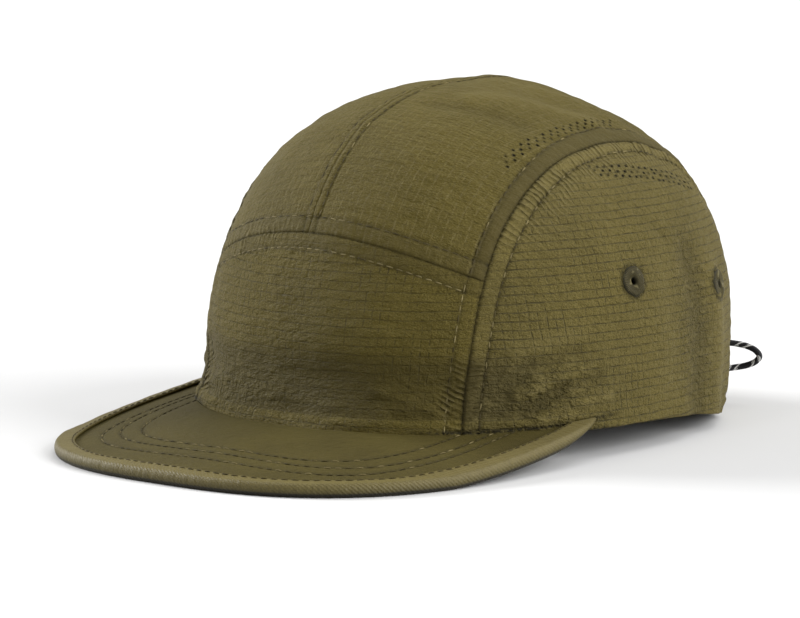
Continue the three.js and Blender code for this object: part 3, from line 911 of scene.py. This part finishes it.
def peak(material):
    rows, columns = PEAK_GRID
    inset = BINDING_ROLL + BINDING_WALL + PIECE_GAP
    end = largest_that(lambda share: bool(clear_of_crown(peak_outline(share, inset))), 1.0)
    end_angle = rim_angle_at(peak_outline(end, inset)[1])
    share, out = np.meshgrid(np.linspace(-1, 1, columns), np.linspace(0, 1, rows))
    outer = peak_outline(share * end, inset)
    inner = rim_point(share * end_angle, PIECE_GAP)[..., :2]
    place = lerp(inner, outer, out[..., None])
    x, y = place[..., 0], place[..., 1]
    upper = stack(x, y, board_surface(x, y))
    lower = stack(x, y, peak_height(x, y) + BINDING_WALL + PIECE_GAP)
    # The fourth mask is painted shade in the grooves of the stitch rows.
    masks = stack(0, 0, 0, np.clip(quilting(x, y), 0, 1))
    wall_piece(upper, lower, place, masks, [], material, "peak")


def binding_section():
    """The binding's folded section from its lower edge round to its upper one: leg, roll and up shares."""
    section = [(leg, 1.0, 0.0) for leg in np.linspace(1, 0, 7)[:-1]]
    for turn in np.linspace(-90, 90, 13):
        bend = math.radians(turn)
        section.append((0.0, 1 - math.cos(bend), 0.5 + 0.5 * math.sin(bend)))
    section += [(leg, 1.0, 1.0) for leg in np.linspace(0, 1, 7)[1:]]
    return section


def binding_width_at(share):
    return largest_that(lambda inset: bool(clear_of_crown(peak_outline(share, inset))), float(BINDING_WIDTH))


def binding_end():
    return largest_that(lambda share: binding_width_at(share) > BINDING_END_WIDTH, 1.0)


def peak_binding(material):
    """The strip of cloth folded over the peak's outer edge."""
    end = binding_end()
    shares = np.linspace(-end, end, BINDING_COLUMNS)
    widths = np.array([binding_width_at(share) for share in shares])
    height = PEAK_THICKNESS + 2 * (BINDING_WALL + PIECE_GAP)
    section = binding_section()
    run = lengths(peak_outline(shares, 0))
    to_end = np.minimum(run, run[-1] - run)
    slimness = lerp(BINDING_TIP_HEIGHT, 1, np.sin(np.clip(to_end / BINDING_TIP_LENGTH, 0, 1) * np.pi / 2))
    skins = []
    for inside in (0, 1):
        rows = []
        for leg, roll, up in section:
            inset = roll * BINDING_ROLL + leg * (widths - BINDING_ROLL) + inside * (1 - leg) * BINDING_WALL
            place = peak_outline(shares, inset)
            level = up * height + inside * BINDING_WALL * (1 - 2 * up)
            level = height - (height - level) * slimness
            slack = 0.05 * np.sin(run / 1.9 + 2 * np.sin(run / 23)) + 0.04 * np.sin(run / 4.7 + 1)
            lift = slack * up * (1 - leg * 0.4) * (1 - inside)
            z = peak_height(place[:, 0], place[:, 1]) + level + lift
            rows.append(stack(place[:, 0], place[:, 1], z))
        skins.append(np.stack(rows))
    across = np.linspace(0, 2 * BINDING_WIDTH + 4, len(section))
    uvs = stack(run[None], across[:, None])
    up = np.array([level for _, _, level in section])[:, None] + np.zeros(run.shape)
    # Painted highlight along the roll's upper edge, painted shade on its lower half and a near-black painted
    # contact shadow where it turns under.
    light = smooth_step(0.45, 0.9, up)
    masks = stack(0, 1 - smooth_step(0.2, 0.6, up), light, 1 - smooth_step(0.22, 0.42, up))
    wall_piece(skins[0], skins[1], uvs, masks, [], material, "peak_binding")


# Stitches

def stitch_template():
    """A short thread that dips at both ends: its points as shares along, across and up, and its faces."""
    rings, sides = 5, 6
    points = []
    for ring in range(rings):
        along = -1 + 2 * ring / (rings - 1)
        size = 0.35 + 0.65 * math.cos(along * math.pi / 2 * 0.9)
        for side in range(sides):
            angle = side / sides * 2 * math.pi
            rise = math.sin(angle) * size - 0.5 * along ** 2
            points.append((along, math.cos(angle) * size, rise))
    return np.array(points), tube_faces(rings, sides)


def stitches_along(path, normals, painted_lit_share, seed):
    """Points, faces and tones of stitches laid on a path: a share of them painted lit and the rest painted
    in shade.
    """
    chooser = np.random.default_rng(seed)
    run = lengths(path)
    template, template_faces = stitch_template()
    places, faces, tones = [], [], []

    def at(values, distance):
        return np.array([np.interp(distance, run, values[:, axis]) for axis in range(3)])

    for centre in np.arange(STITCH_PITCH / 2, run[-1], STITCH_PITCH):
        middle = at(path, centre)
        up = unit(at(normals, centre))
        along = unit(at(path, centre + 0.4) - at(path, centre - 0.4))
        across = unit(np.cross(up, along))
        along = unit(along + across * chooser.normal(0, 0.05))
        size = chooser.uniform(0.9, 1.08)
        start = len(places) * len(template)
        # Painted light and shade: a share of the stitches are painted lit and the rest dark as if in shade.
        painted_lit = chooser.uniform() < painted_lit_share
        tones.append(chooser.uniform(0.6, 1) if painted_lit else chooser.uniform(0, 0.25))
        local = template * np.array((STITCH_LENGTH / 2 * size, STITCH_WIDTH / 2, STITCH_HEIGHT / 2))
        local_up = local[:, 2] + STITCH_HEIGHT * 0.5
        places.append(middle + local[:, :1] * along + local[:, 1:2] * across + local_up[:, None] * up)
        faces += [[start + corner for corner in face] for face in template_faces]
    return np.concatenate(places), faces, np.repeat(tones, len(template))


def joined_stitches(name, rows, material):
    """One piece from several rows of stitches: their paths, normals and shares of stitches painted as lit.
    """
    places, faces, tones = [], [], []
    used = 0
    for number, (path, normals, painted_lit_share) in enumerate(rows):
        row_places, row_faces, row_tones = stitches_along(path, normals, painted_lit_share, 100 + number)
        places.append(row_places)
        tones.append(row_tones)
        faces += [[used + corner for corner in face] for face in row_faces]
        used += len(row_places)
    masks = np.repeat(np.concatenate(tones)[:, None], 4, 1)
    new_piece(name, make_mesh(name, np.concatenate(places), faces, None, masks), material)


def on_cloth(points, painted_lit_share):
    """A stitch row on the crown's relief: its path, its normals and its share of stitches painted as lit."""
    outward = outward_at(points)
    depth = np.clip(cloth_relief(points)[0], DEEPEST, PROUDEST)
    return points + outward * depth[:, None], outward, painted_lit_share


def crown_rows():
    """The stitch rows of the crown."""
    rows = []
    over = np.linspace(0, 1, 500)
    corner_height = FRONT_SEAM_HEIGHT - FRONT_SEAM_DROP + FRONT_UPPER_STITCH * 0.4
    for side in (1, -1):
        def centre(y):
            return np.full(np.shape(y), side * CENTRE_STITCH)

        def inside(y):
            return side * (side_seam_at(y) - top_stitch_inset(y))

        def outside(y):
            return side * (side_seam_at(y) + SIDE_STITCH)

        def in_front(y):
            return side * (side_seam_at(y) - FRONT_SIDE_STITCH)

        for slice_at, height, painted_lit_share in (
            (centre, FRONT_SEAM_HEIGHT + FRONT_UPPER_STITCH, 0.3),
            (inside, corner_height, 0.2),
        ):
            start = angle_of(front_crown(slice_at, np.full(1, float(height))))[0]
            rows.append(on_cloth(over_crown(slice_at, lerp(start, np.pi - 0.01, over)), painted_lit_share))
        rows.append(on_cloth(over_crown(outside, lerp(0.14, np.pi - 0.02, over)), 0.3))
        heights = np.linspace(RIM_RISE + 1, FRONT_SEAM_HEIGHT - FRONT_SEAM_DROP, 120)
        rows.append(on_cloth(front_crown(in_front, heights), 0.5))
    share = np.linspace(-0.97, 0.97, 240)
    for offset, painted_lit_share in ((FRONT_UPPER_STITCH, 0.2), (-FRONT_LOWER_STITCH, 0.8)):
        x = share * (SIDE_SEAM_FRONT - 3)
        rows.append(on_cloth(front_crown(lambda y: x, front_seam_at(x) + offset), painted_lit_share))
    return rows


def peak_row(row, lift):
    """A row of stitches on the peak."""
    end = largest_that(lambda share: bool(clear_of_crown(peak_stitch_line(share, row))), 1.0)
    plan = peak_stitch_line(np.linspace(-end, end, 600), row)
    x, y = plan[:, 0], plan[:, 1]
    path = stack(x, y, board_surface(x, y) + lift)
    return path, np.tile((0.0, 0.0, 1.0), (len(path), 1)), 0.35


def binding_row():
    end = binding_end() * 0.97
    plan = peak_outline(np.linspace(-end, end, 600), BINDING_STITCH_INSET)
    plan = plan[clear_of_crown(plan)]
    top = PEAK_THICKNESS + 2 * (BINDING_WALL + PIECE_GAP)
    z = peak_height(plan[:, 0], plan[:, 1]) + top
    return np.column_stack((plan, z)), np.tile((0.0, 0.0, 1.0), (len(plan), 1)), 0.05


# The drawcord

def smooth_curve(points, count):
    """Points along a curve through the given ones."""
    points = np.array(points, float)
    padded = np.concatenate(([2 * points[0] - points[1]], points, [2 * points[-1] - points[-2]]))
    curve = []
    for place in np.linspace(0, len(points) - 1.0001, count):
        i = int(place)
        t = place - i
        a, b, c, d = padded[i:i + 4]
        curve.append(0.5 * (2 * b + (c - a) * t + (2 * a - 5 * b + 4 * c - d) * t ** 2
                            + (3 * b - a - 3 * c + d) * t ** 3))
    return np.array(curve)


def drawcord(material):
    """The braided loop of cord: strands cross over each other, and some of them have light flecks."""
    path = smooth_curve(CORD_ROUTE, CORD_RINGS)
    tangent = unit(np.gradient(path, axis=0))
    across = unit(np.cross(tangent, (0.0, 0.0, 1.0)))
    for i in range(1, len(across)):
        carried = across[i - 1] - tangent[i] * (across[i - 1] @ tangent[i])
        across[i] = unit(carried)
    upward = np.cross(tangent, across)
    run = lengths(path)
    theta = np.linspace(0, 2 * np.pi, CORD_SIDES, endpoint=False)
    twist = run[:, None] * 2 * np.pi / 9
    left = np.cos(CORD_STRANDS * (theta[None] + twist) / 2)
    right = np.cos(CORD_STRANDS * (theta[None] - twist) / 2)
    bulge = np.maximum(np.abs(left), np.abs(right))
    radius = CORD_DIAMETER / 2 * (0.94 + 0.14 * bulge)
    spokes = np.cos(theta)[None, :, None] * across[:, None] + np.sin(theta)[None, :, None] * upward[:, None]
    places = (path[:, None] + spokes * radius[..., None]).reshape(-1, 3)
    flecks = (np.sin(run[:, None] * 2 * np.pi / 3.1 + theta[None] * 2) > 0.35) & (np.abs(left) > 0.66)
    flecks = flecks & (np.cos(theta[None] + twist) > -0.2)
    masks = stack(flecks, bulge, 0).reshape(-1, 3)
    faces = turned_outwards(places, tube_faces(CORD_RINGS, CORD_SIDES))
    mesh = make_mesh("drawcord_braid", places, faces, masks=masks)
    piece = new_piece("drawcord_braid", mesh, material, "drawcord")
    frame_path = to_frame(path)
    tuple(frame_path[0])


# Materials

def joined(operation, turned=False):
    """A method that joins two values by a math node."""
    def join(self, other):
        return self.shader.math(operation, *((other, self) if turned else (self, other)))
    return join


class Value:
    """What a node gives. Signs between values, or values and numbers, make further nodes."""

    def __init__(self, shader, socket):
        self.shader = shader
        self.socket = socket

    __add__, __radd__ = joined("ADD"), joined("ADD", True)
    __sub__, __rsub__ = joined("SUBTRACT"), joined("SUBTRACT", True)
    __mul__, __rmul__ = joined("MULTIPLY"), joined("MULTIPLY", True)
    __truediv__, __pow__ = joined("DIVIDE"), joined("POWER")

    def __abs__(self):
        return self.shader.math("ABSOLUTE", self)


class Shader:
    """A material with short calls for its nodes."""

    def __init__(self, name, colour, roughness):
        self.material = bpy.data.materials.new(name)
        self.material.use_nodes = True
        self.tree = self.material.node_tree
        self.surface = self.tree.nodes["Principled BSDF"]
        self.set("Base Color", (*colour, 1))
        self.set("Roughness", roughness)
        self.set("Specular IOR Level", 0.14)

    def fill(self, socket, value):
        if isinstance(value, Value):
            self.tree.links.new(value.socket, socket)
        else:
            socket.default_value = value

    def set(self, name, value):
        """Fills an input of the surface."""
        self.fill(self.surface.inputs[name], value)

    def node(self, kind, inputs, out=0):
        """An output of a new node whose inputs are filled by their names or numbers."""
        node = self.tree.nodes.new(f"ShaderNode{kind}")
        for name, value in inputs.items():
            self.fill(node.inputs[name], value)
        return Value(self, node.outputs[out])

    def math(self, operation, *values):
        result = self.node("Math", dict(enumerate(values)))
        result.socket.node.operation = operation
        return result

    def parts(self, kind, whole):
        """The three parts of a place or colour."""
        node = self.node(kind, {0: whole}).socket.node
        return [Value(self, socket) for socket in node.outputs[:3]]

    def cloth_place(self):
        """Cloth coordinates in millimetres, together and along and up."""
        place = self.node("UVMap", {})
        place.socket.node.uv_map = "cloth"
        return place, *self.parts("SeparateXYZ", place)[:2]

    def point_masks(self, name):
        """The four values that a mesh stores at its points under a name."""
        colour = self.node("Attribute", {}, "Color")
        colour.socket.node.attribute_name = name
        return *self.parts("SeparateColor", colour), Value(self, colour.socket.node.outputs["Alpha"])

    def noise(self, place, scale, detail=2.0, roughness=0.5):
        inputs = {"Vector": place, "Scale": scale, "Detail": detail, "Roughness": roughness}
        return self.node("TexNoise", inputs, "Fac")

    def stretched(self, place, across, up):
        result = self.node("VectorMath", {0: place, 1: (across, up, 1)})
        result.socket.node.operation = "MULTIPLY"
        return result

    def object_place(self):
        return self.node("TexCoord", {}, "Object")

    def range(self, value, low, high, to_low=0.0, to_high=1.0):
        return self.node("MapRange", {
            "Value": value, "From Min": low, "From Max": high, "To Min": to_low, "To Max": to_high,
        })

    def mix(self, share, first, second):
        node = self.tree.nodes.new("ShaderNodeMix")
        node.data_type = "RGBA"
        self.fill(node.inputs[0], share)
        for socket, value in ((node.inputs[6], first), (node.inputs[7], second)):
            self.fill(socket, value if isinstance(value, Value) else (*value, 1))
        return Value(self, node.outputs[2])

    def bump(self, height, distance_mm):
        inputs = {"Height": height, "Distance": distance_mm / 1000, "Strength": 1}
        self.set("Normal", self.node("Bump", inputs))

    def sheen(self, weight):
        self.set("Sheen Weight", weight)
        self.set("Sheen Roughness", 0.45)
        self.set("Sheen Tint", (0.70, 0.58, 0.16, 1))

    def lines(self, value, pitch, half_width):
        """One on evenly spaced lines, falling to zero beside them."""
        nearest = abs(self.math("FRACT", value / pitch) - 0.5)
        return self.range(nearest, 0, half_width / pitch, 1, 0)

    def ridges(self, value, pitch, sway, seed_scale, place):
        """Uneven ridges along lines of one value, from zero to one."""
        swayed = value / pitch + self.noise(place, seed_scale, 2) * sway
        return (abs(self.math("FRACT", swayed) - 0.5) * 2.0) ** 1.6


def ripstop(name, level_strength, upright_strength, sheen_streaks, shading_veil, relief):
    """Olive ripstop: a grid of thicker yarns in a fine crinkled cloth, with smoother bands at the seams."""
    shader = Shader(name, (0.11, 0.083, 0.028), 0.62)
    place, along, up = shader.cloth_place()
    smooth, dark, light, crease_shade = shader.point_masks("finish")
    along_seam, across, run, crumpled = shader.point_masks("gathers")
    wobble = shader.noise(place, 0.12, 2)
    along += wobble * 1.3
    up += wobble
    broken = shader.range(shader.noise(shader.stretched(place, 0.35, 0.9), 1.0, 3), 0.38, 0.6)
    dashes = shader.range(shader.noise(shader.stretched(place, 1.1, 0.5), 1.0, 2), 0.42, 0.6)
    faint = shader.range(shader.noise(place, 0.05, 2), 0.4, 0.6, 0.3, 1)
    level = shader.lines(up, GRID_PITCH, 0.38) * level_strength * (0.4 + broken * 0.6)
    upright = shader.lines(along, GRID_PITCH, 0.36) * upright_strength * (faint * dashes)
    plain = 1.0 - smooth
    grid = shader.math("MAXIMUM", level, upright) * plain
    crinkle = shader.noise(shader.stretched(place, 0.8, 1.2), 0.9, 4, 0.65)
    fine = shader.noise(shader.stretched(place, 1.0, 1.3), 1.7, 3, 0.7)
    patches = shader.range(shader.noise(place, 0.035, 3), 0.35, 0.65)
    base = shader.mix(patches, (0.118, 0.091, 0.017), (0.096, 0.074, 0.013))
    base = shader.mix(shader.range(fine, 0.52, 0.72, 0, 0.75), base, (0.215, 0.175, 0.052))
    base = shader.mix(shader.range(fine, 0.46, 0.3, 0, 0.7), base, (0.048, 0.037, 0.009))
    if sheen_streaks:
        # Painted sheen highlight in pale streaks; the lighter yarn lines after it are the cloth's own.
        thin = shader.noise(shader.stretched(place, 1.4, 0.14), 1.0, 3, 0.6)
        base = shader.mix(shader.range(thin, 0.58, 0.72, 0, 0.45), base, (0.23, 0.19, 0.075))
        yarns = shader.lines(along, GRID_PITCH, 0.34) * (dashes * plain)
        base = shader.mix(yarns * 0.5, base, (0.25, 0.205, 0.085))
    base = shader.mix(grid * 0.95, base, (0.02, 0.0155, 0.004))
    # Painted shade and painted highlight from the point masks; the dark mask also carries the seam bands'
    # own darker tone.
    base = shader.mix(dark * 0.75, base, (0.058, 0.045, 0.011))
    base = shader.mix(light * 0.55, base, (0.175, 0.14, 0.043))
    side_ridges = shader.ridges(run, 2.15, 1.6, 0.10, place)
    cross_ridges = shader.ridges(along, 2.3, 1.3, 0.12, place)
    here_and_there = shader.range(shader.noise(place, 0.16, 2), 0.42, 0.58, 0.15, 1)
    puckered = (side_ridges * along_seam + cross_ridges * across) * here_and_there
    # Painted highlight on the pucker ridges, which also stand out in the bump.
    base = shader.mix(puckered * 0.5, base, (0.26, 0.21, 0.08))
    crumple = shader.noise(shader.stretched(place, 0.16, 0.30), 1.0, 3, 0.6)
    # Painted shade along the crumples' fold lines and painted highlight on their raised parts; the fold
    # lines also dip the bump.
    fold_line = shader.range(abs(crumple - 0.5), 0, 0.05, 1, 0) * crumpled
    crumple_highlight = shader.range(crumple, 0.53, 0.66) * crumpled
    base = shader.mix(fold_line * 0.5, base, (0.045, 0.035, 0.009))
    base = shader.mix(crumple_highlight * 0.4, base, (0.21, 0.17, 0.06))
    # Painted veil for how light falls on the panel: a pale sheen over the sides, shade over the top.
    base = shader.mix(shading_veil[0], base, shading_veil[1])
    # Painted shade, near black and broken into dashes, in the seam creases, stitch rows, round the eyelets,
    # at the vent holes' edges and under the hem.
    shade_dashes = shader.range(shader.noise(place, 0.85, 1), 0.4, 0.55, 0.45, 1)
    base = shader.mix(crease_shade * shade_dashes, base, (0.01, 0.008, 0.002))
    shader.set("Base Color", base)
    calm = 1.0 - smooth * 0.7
    wrinkled = shader.noise(shader.stretched(place, 0.22, 0.42), 1.0, 4, 0.6)
    height = (crinkle * 1.6 + wrinkled * 2.8) * calm - grid * 0.5 + fine * 0.5
    height += puckered * 2.2 + crumple * crumpled * 9.0 - fold_line * 0.8
    shader.bump(height, relief)
    shader.set("Roughness", shader.range(crinkle, 0.3, 0.7, 0.52, 0.72))
    shader.sheen(0.08)
    return shader.material


def peak_fabric():
    """Plain olive weave drawn tight over the board, pulled in along its stitch rows, with painted shade in
    their grooves.
    """
    shader = Shader("peak_weave", (0.075, 0.057, 0.02), 0.6)
    place, along, up = shader.cloth_place()
    _, _, _, row = shader.point_masks("finish")
    patches = shader.range(shader.noise(place, 0.05, 3), 0.35, 0.65)
    fine = shader.noise(place, 1.9, 4, 0.7)
    pulled = shader.noise(shader.stretched(place, 0.35, 0.35), 1.0, 4, 0.6)
    base = shader.mix(patches, (0.050, 0.039, 0.008), (0.039, 0.030, 0.006))
    base = shader.mix(shader.range(fine, 0.52, 0.75, 0, 0.5), base, (0.115, 0.093, 0.033))
    # Painted shade in the stitch rows' grooves.
    base = shader.mix(row * 0.6, base, (0.018, 0.014, 0.003))
    shader.set("Base Color", base)
    warp = shader.lines(along, 0.55, 0.2)
    weft = shader.lines(up, 0.55, 0.2)
    shader.bump((warp + weft) * 0.12 + fine + pulled * 2.0, 0.25)
    shader.sheen(0.10)
    return shader.material


def binding_fabric():
    """Bias tape: a close diagonal twill with a soft sheen, a painted highlight along its upper edge, painted
    shade on its lower roll and a near-black painted contact shadow where it folds under the peak.
    """
    shader = Shader("binding_twill", (0.16, 0.125, 0.05), 0.5)
    place, along, up = shader.cloth_place()
    _, dark, light, under = shader.point_masks("finish")
    slant = along + up * 0.9
    twill = shader.lines(slant, 1.5, 0.7)
    pull = shader.noise(shader.stretched(place, 0.5, 0.12), 1.0, 3)
    fine = shader.noise(place, 2.0, 3, 0.7)
    base = shader.mix(shader.range(pull, 0.35, 0.65), (0.084, 0.067, 0.017), (0.066, 0.052, 0.012))
    base = shader.mix(shader.range(fine, 0.5, 0.72, 0, 0.5), base, (0.17, 0.138, 0.052))
    base = shader.mix(twill * 0.15, base, (0.055, 0.043, 0.012))
    # Painted highlight on the upper roll, painted shade on the lower roll and a near-black painted contact
    # shadow beneath.
    base = shader.mix(light * 0.35, base, (0.19, 0.153, 0.055))
    base = shader.mix(dark * 0.5, base, (0.052, 0.041, 0.011))
    base = shader.mix(under * 0.97, base, (0.005, 0.004, 0.002))
    shader.set("Base Color", base)
    shader.bump(pull * 1.3 + twill * -0.3 + fine * 0.4, 0.35)
    shader.set("Specular IOR Level", 0.28)
    shader.sheen(0.06)
    return shader.material


def thread(name):
    """Twisted sewing thread with painted light and shade: most stitches are painted dark as if sunk in
    shade, and some painted lit.
    """
    shader = Shader(name, (0.08, 0.065, 0.025), 0.6)
    place = shader.object_place()
    tone, _, _, _ = shader.point_masks("finish")
    grain = shader.range(shader.noise(place, 260, 3, 0.6), 0.38, 0.6)
    # Painted shade and painted highlight on each stitch, from its tone.
    base = shader.mix(tone, (0.030, 0.023, 0.007), (0.25, 0.205, 0.09))
    base = shader.mix(grain * 0.35, base, (0.05, 0.038, 0.012))
    shader.set("Base Color", base)
    shader.bump(shader.noise(place, 2500, 3), 0.08)
    return shader.material


def eyelet_threads():
    """Dark thread, with painted shade between the threads, at the hole and at the outer edge, and painted
    highlight glints.
    """
    shader = Shader("eyelet_threads", (0.07, 0.062, 0.03), 0.45)
    share, ridge_top, _, _ = shader.point_masks("finish")
    # Painted shade between the threads, painted highlight glints, then painted shade at the hole and the
    # outer edge.
    base = shader.mix(ridge_top, (0.018, 0.015, 0.006), (0.072, 0.060, 0.022))
    painted_glints = shader.range(shader.noise(shader.object_place(), 420, 2), 0.58, 0.68)
    base = shader.mix(painted_glints * 0.6, base, (0.22, 0.19, 0.09))
    edge = shader.math("MAXIMUM", shader.range(share, 0.78, 0.98), shader.range(share, 0.16, 0.0))
    base = shader.mix(edge * 0.8, base, (0.02, 0.019, 0.011))
    shader.set("Base Color", base)
    shader.bump(shader.noise(shader.object_place(), 2500, 3), 0.08)
    return shader.material


def cord_braid():
    """Black braid with light flecks, and painted shade in the grooves between its strands."""
    shader = Shader("cord_braid", (0.012, 0.012, 0.013), 0.5)
    fleck, bulge, _, _ = shader.point_masks("finish")
    # Painted shade: darker in the grooves between the strands than on their bulges.
    dark = shader.mix(bulge, (0.003, 0.003, 0.003), (0.018, 0.018, 0.020))
    shader.set("Base Color", shader.mix(fleck, dark, (0.72, 0.72, 0.70)))
    shader.bump(shader.noise(shader.object_place(), 2500, 3), 0.08)
    return shader.material


def floor_paint():
    shader = Shader("floor_white", (0.7, 0.7, 0.7), 0.9)
    shader.set("Specular IOR Level", 0)
    return shader.material


# Camera, floor and light

def direction(from_front, up):
    """Unit vector at angles to the wearer's left of straight ahead and above the floor."""
    return Vector((math.sin(from_front) * math.cos(up), -math.cos(from_front) * math.cos(up), math.sin(up)))


def aimed(name, data, back):
    """A camera or lamp that looks against a direction."""
    thing = bpy.data.objects.new(name, data)
    thing.rotation_mode = "QUATERNION"
    thing.rotation_quaternion = back.to_track_quat("Z", "Y")
    bpy.context.scene.collection.objects.link(thing)
    return thing


def make_camera():
    back = direction(CAMERA_AZIMUTH, CAMERA_ELEVATION)
    camera = aimed("camera", bpy.data.cameras.new("camera"), back)
    camera.data.sensor_width = SENSOR_WIDTH
    camera.data.lens = CAMERA_FOCAL_PIXELS / PHOTO_WIDTH * SENSOR_WIDTH
    camera.data.shift_x = -(CAMERA_TARGET_PIXEL[0] - PHOTO_WIDTH / 2) / PHOTO_WIDTH
    camera.data.shift_y = (CAMERA_TARGET_PIXEL[1] - PHOTO_HEIGHT / 2) / PHOTO_WIDTH
    camera.data.clip_start, camera.data.clip_end = 0.05, 60
    camera.location = Vector(to_frame(CAMERA_TARGET)) + back * CAMERA_DISTANCE / 1000
    bpy.context.scene.camera = camera


def make_floor():
    half = 20.0
    corners = [(-half, -half, 0), (half, -half, 0), (half, half, 0), (-half, half, 0)]
    mesh = bpy.data.meshes.new("floor")
    mesh.from_pydata(corners, [], [(0, 1, 2, 3)])
    new_object("floor", mesh, floor_paint())


def far_light(name, from_side, elevation, spread, strength):
    """Light from far away: degrees to the wearer's left of straight ahead, above the floor and across."""
    lamp = bpy.data.lights.new(name, "SUN")
    lamp.angle = math.radians(spread)
    lamp.energy = strength
    aimed(name, lamp, direction(math.radians(from_side), math.radians(elevation)))


def make_light():
    world = bpy.data.worlds.new("studio")
    world.use_nodes = True
    background = world.node_tree.nodes["Background"]
    background.inputs["Color"].default_value = (1, 1, 1, 1)
    background.inputs["Strength"].default_value = ALL_ROUND_LIGHT
    bpy.context.scene.world = world
    for name, values in LIGHTS.items():
        far_light(name, *values)
    bpy.context.scene.view_settings.view_transform = "Standard"


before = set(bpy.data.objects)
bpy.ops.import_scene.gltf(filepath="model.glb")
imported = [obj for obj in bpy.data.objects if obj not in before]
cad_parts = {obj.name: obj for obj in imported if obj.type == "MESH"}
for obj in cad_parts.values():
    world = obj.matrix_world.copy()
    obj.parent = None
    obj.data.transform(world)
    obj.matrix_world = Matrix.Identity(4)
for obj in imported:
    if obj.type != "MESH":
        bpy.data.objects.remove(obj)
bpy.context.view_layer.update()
FRAME_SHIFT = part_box("peak_binding")[0][1] * 1000 + CROWN_HALF_LENGTH + PEAK_LENGTH

make_camera()
drawcord(cord_braid())

cloths = {name: ripstop(f"{name}_ripstop", *values) for name, values in CLOTHS.items()}
seam_thread = thread("seam_thread")
sewn = eyelet_threads()
front_panel(cloths["front"])
left_side = side_points(*SIDE_GRID)
left_side_uv = side_uv(left_side)
for hand, side in (("left", 1), ("right", -1)):
    top_panel(hand, side, cloths["top"])
    side_panel(hand, side, left_side, left_side_uv, cloths["side"])
    for place, (along, up) in EYELETS.items():
        eyelet(place, along, up, hand, side, sewn)
peak(peak_fabric())
peak_binding(binding_fabric())
joined_stitches("crown_stitches", crown_rows(), seam_thread)
joined_stitches("peak_stitches", [peak_row(row, 0.05) for row in PEAK_STITCH_ROWS], seam_thread)
joined_stitches("binding_stitches", [binding_row()], seam_thread)

make_floor()
make_light()
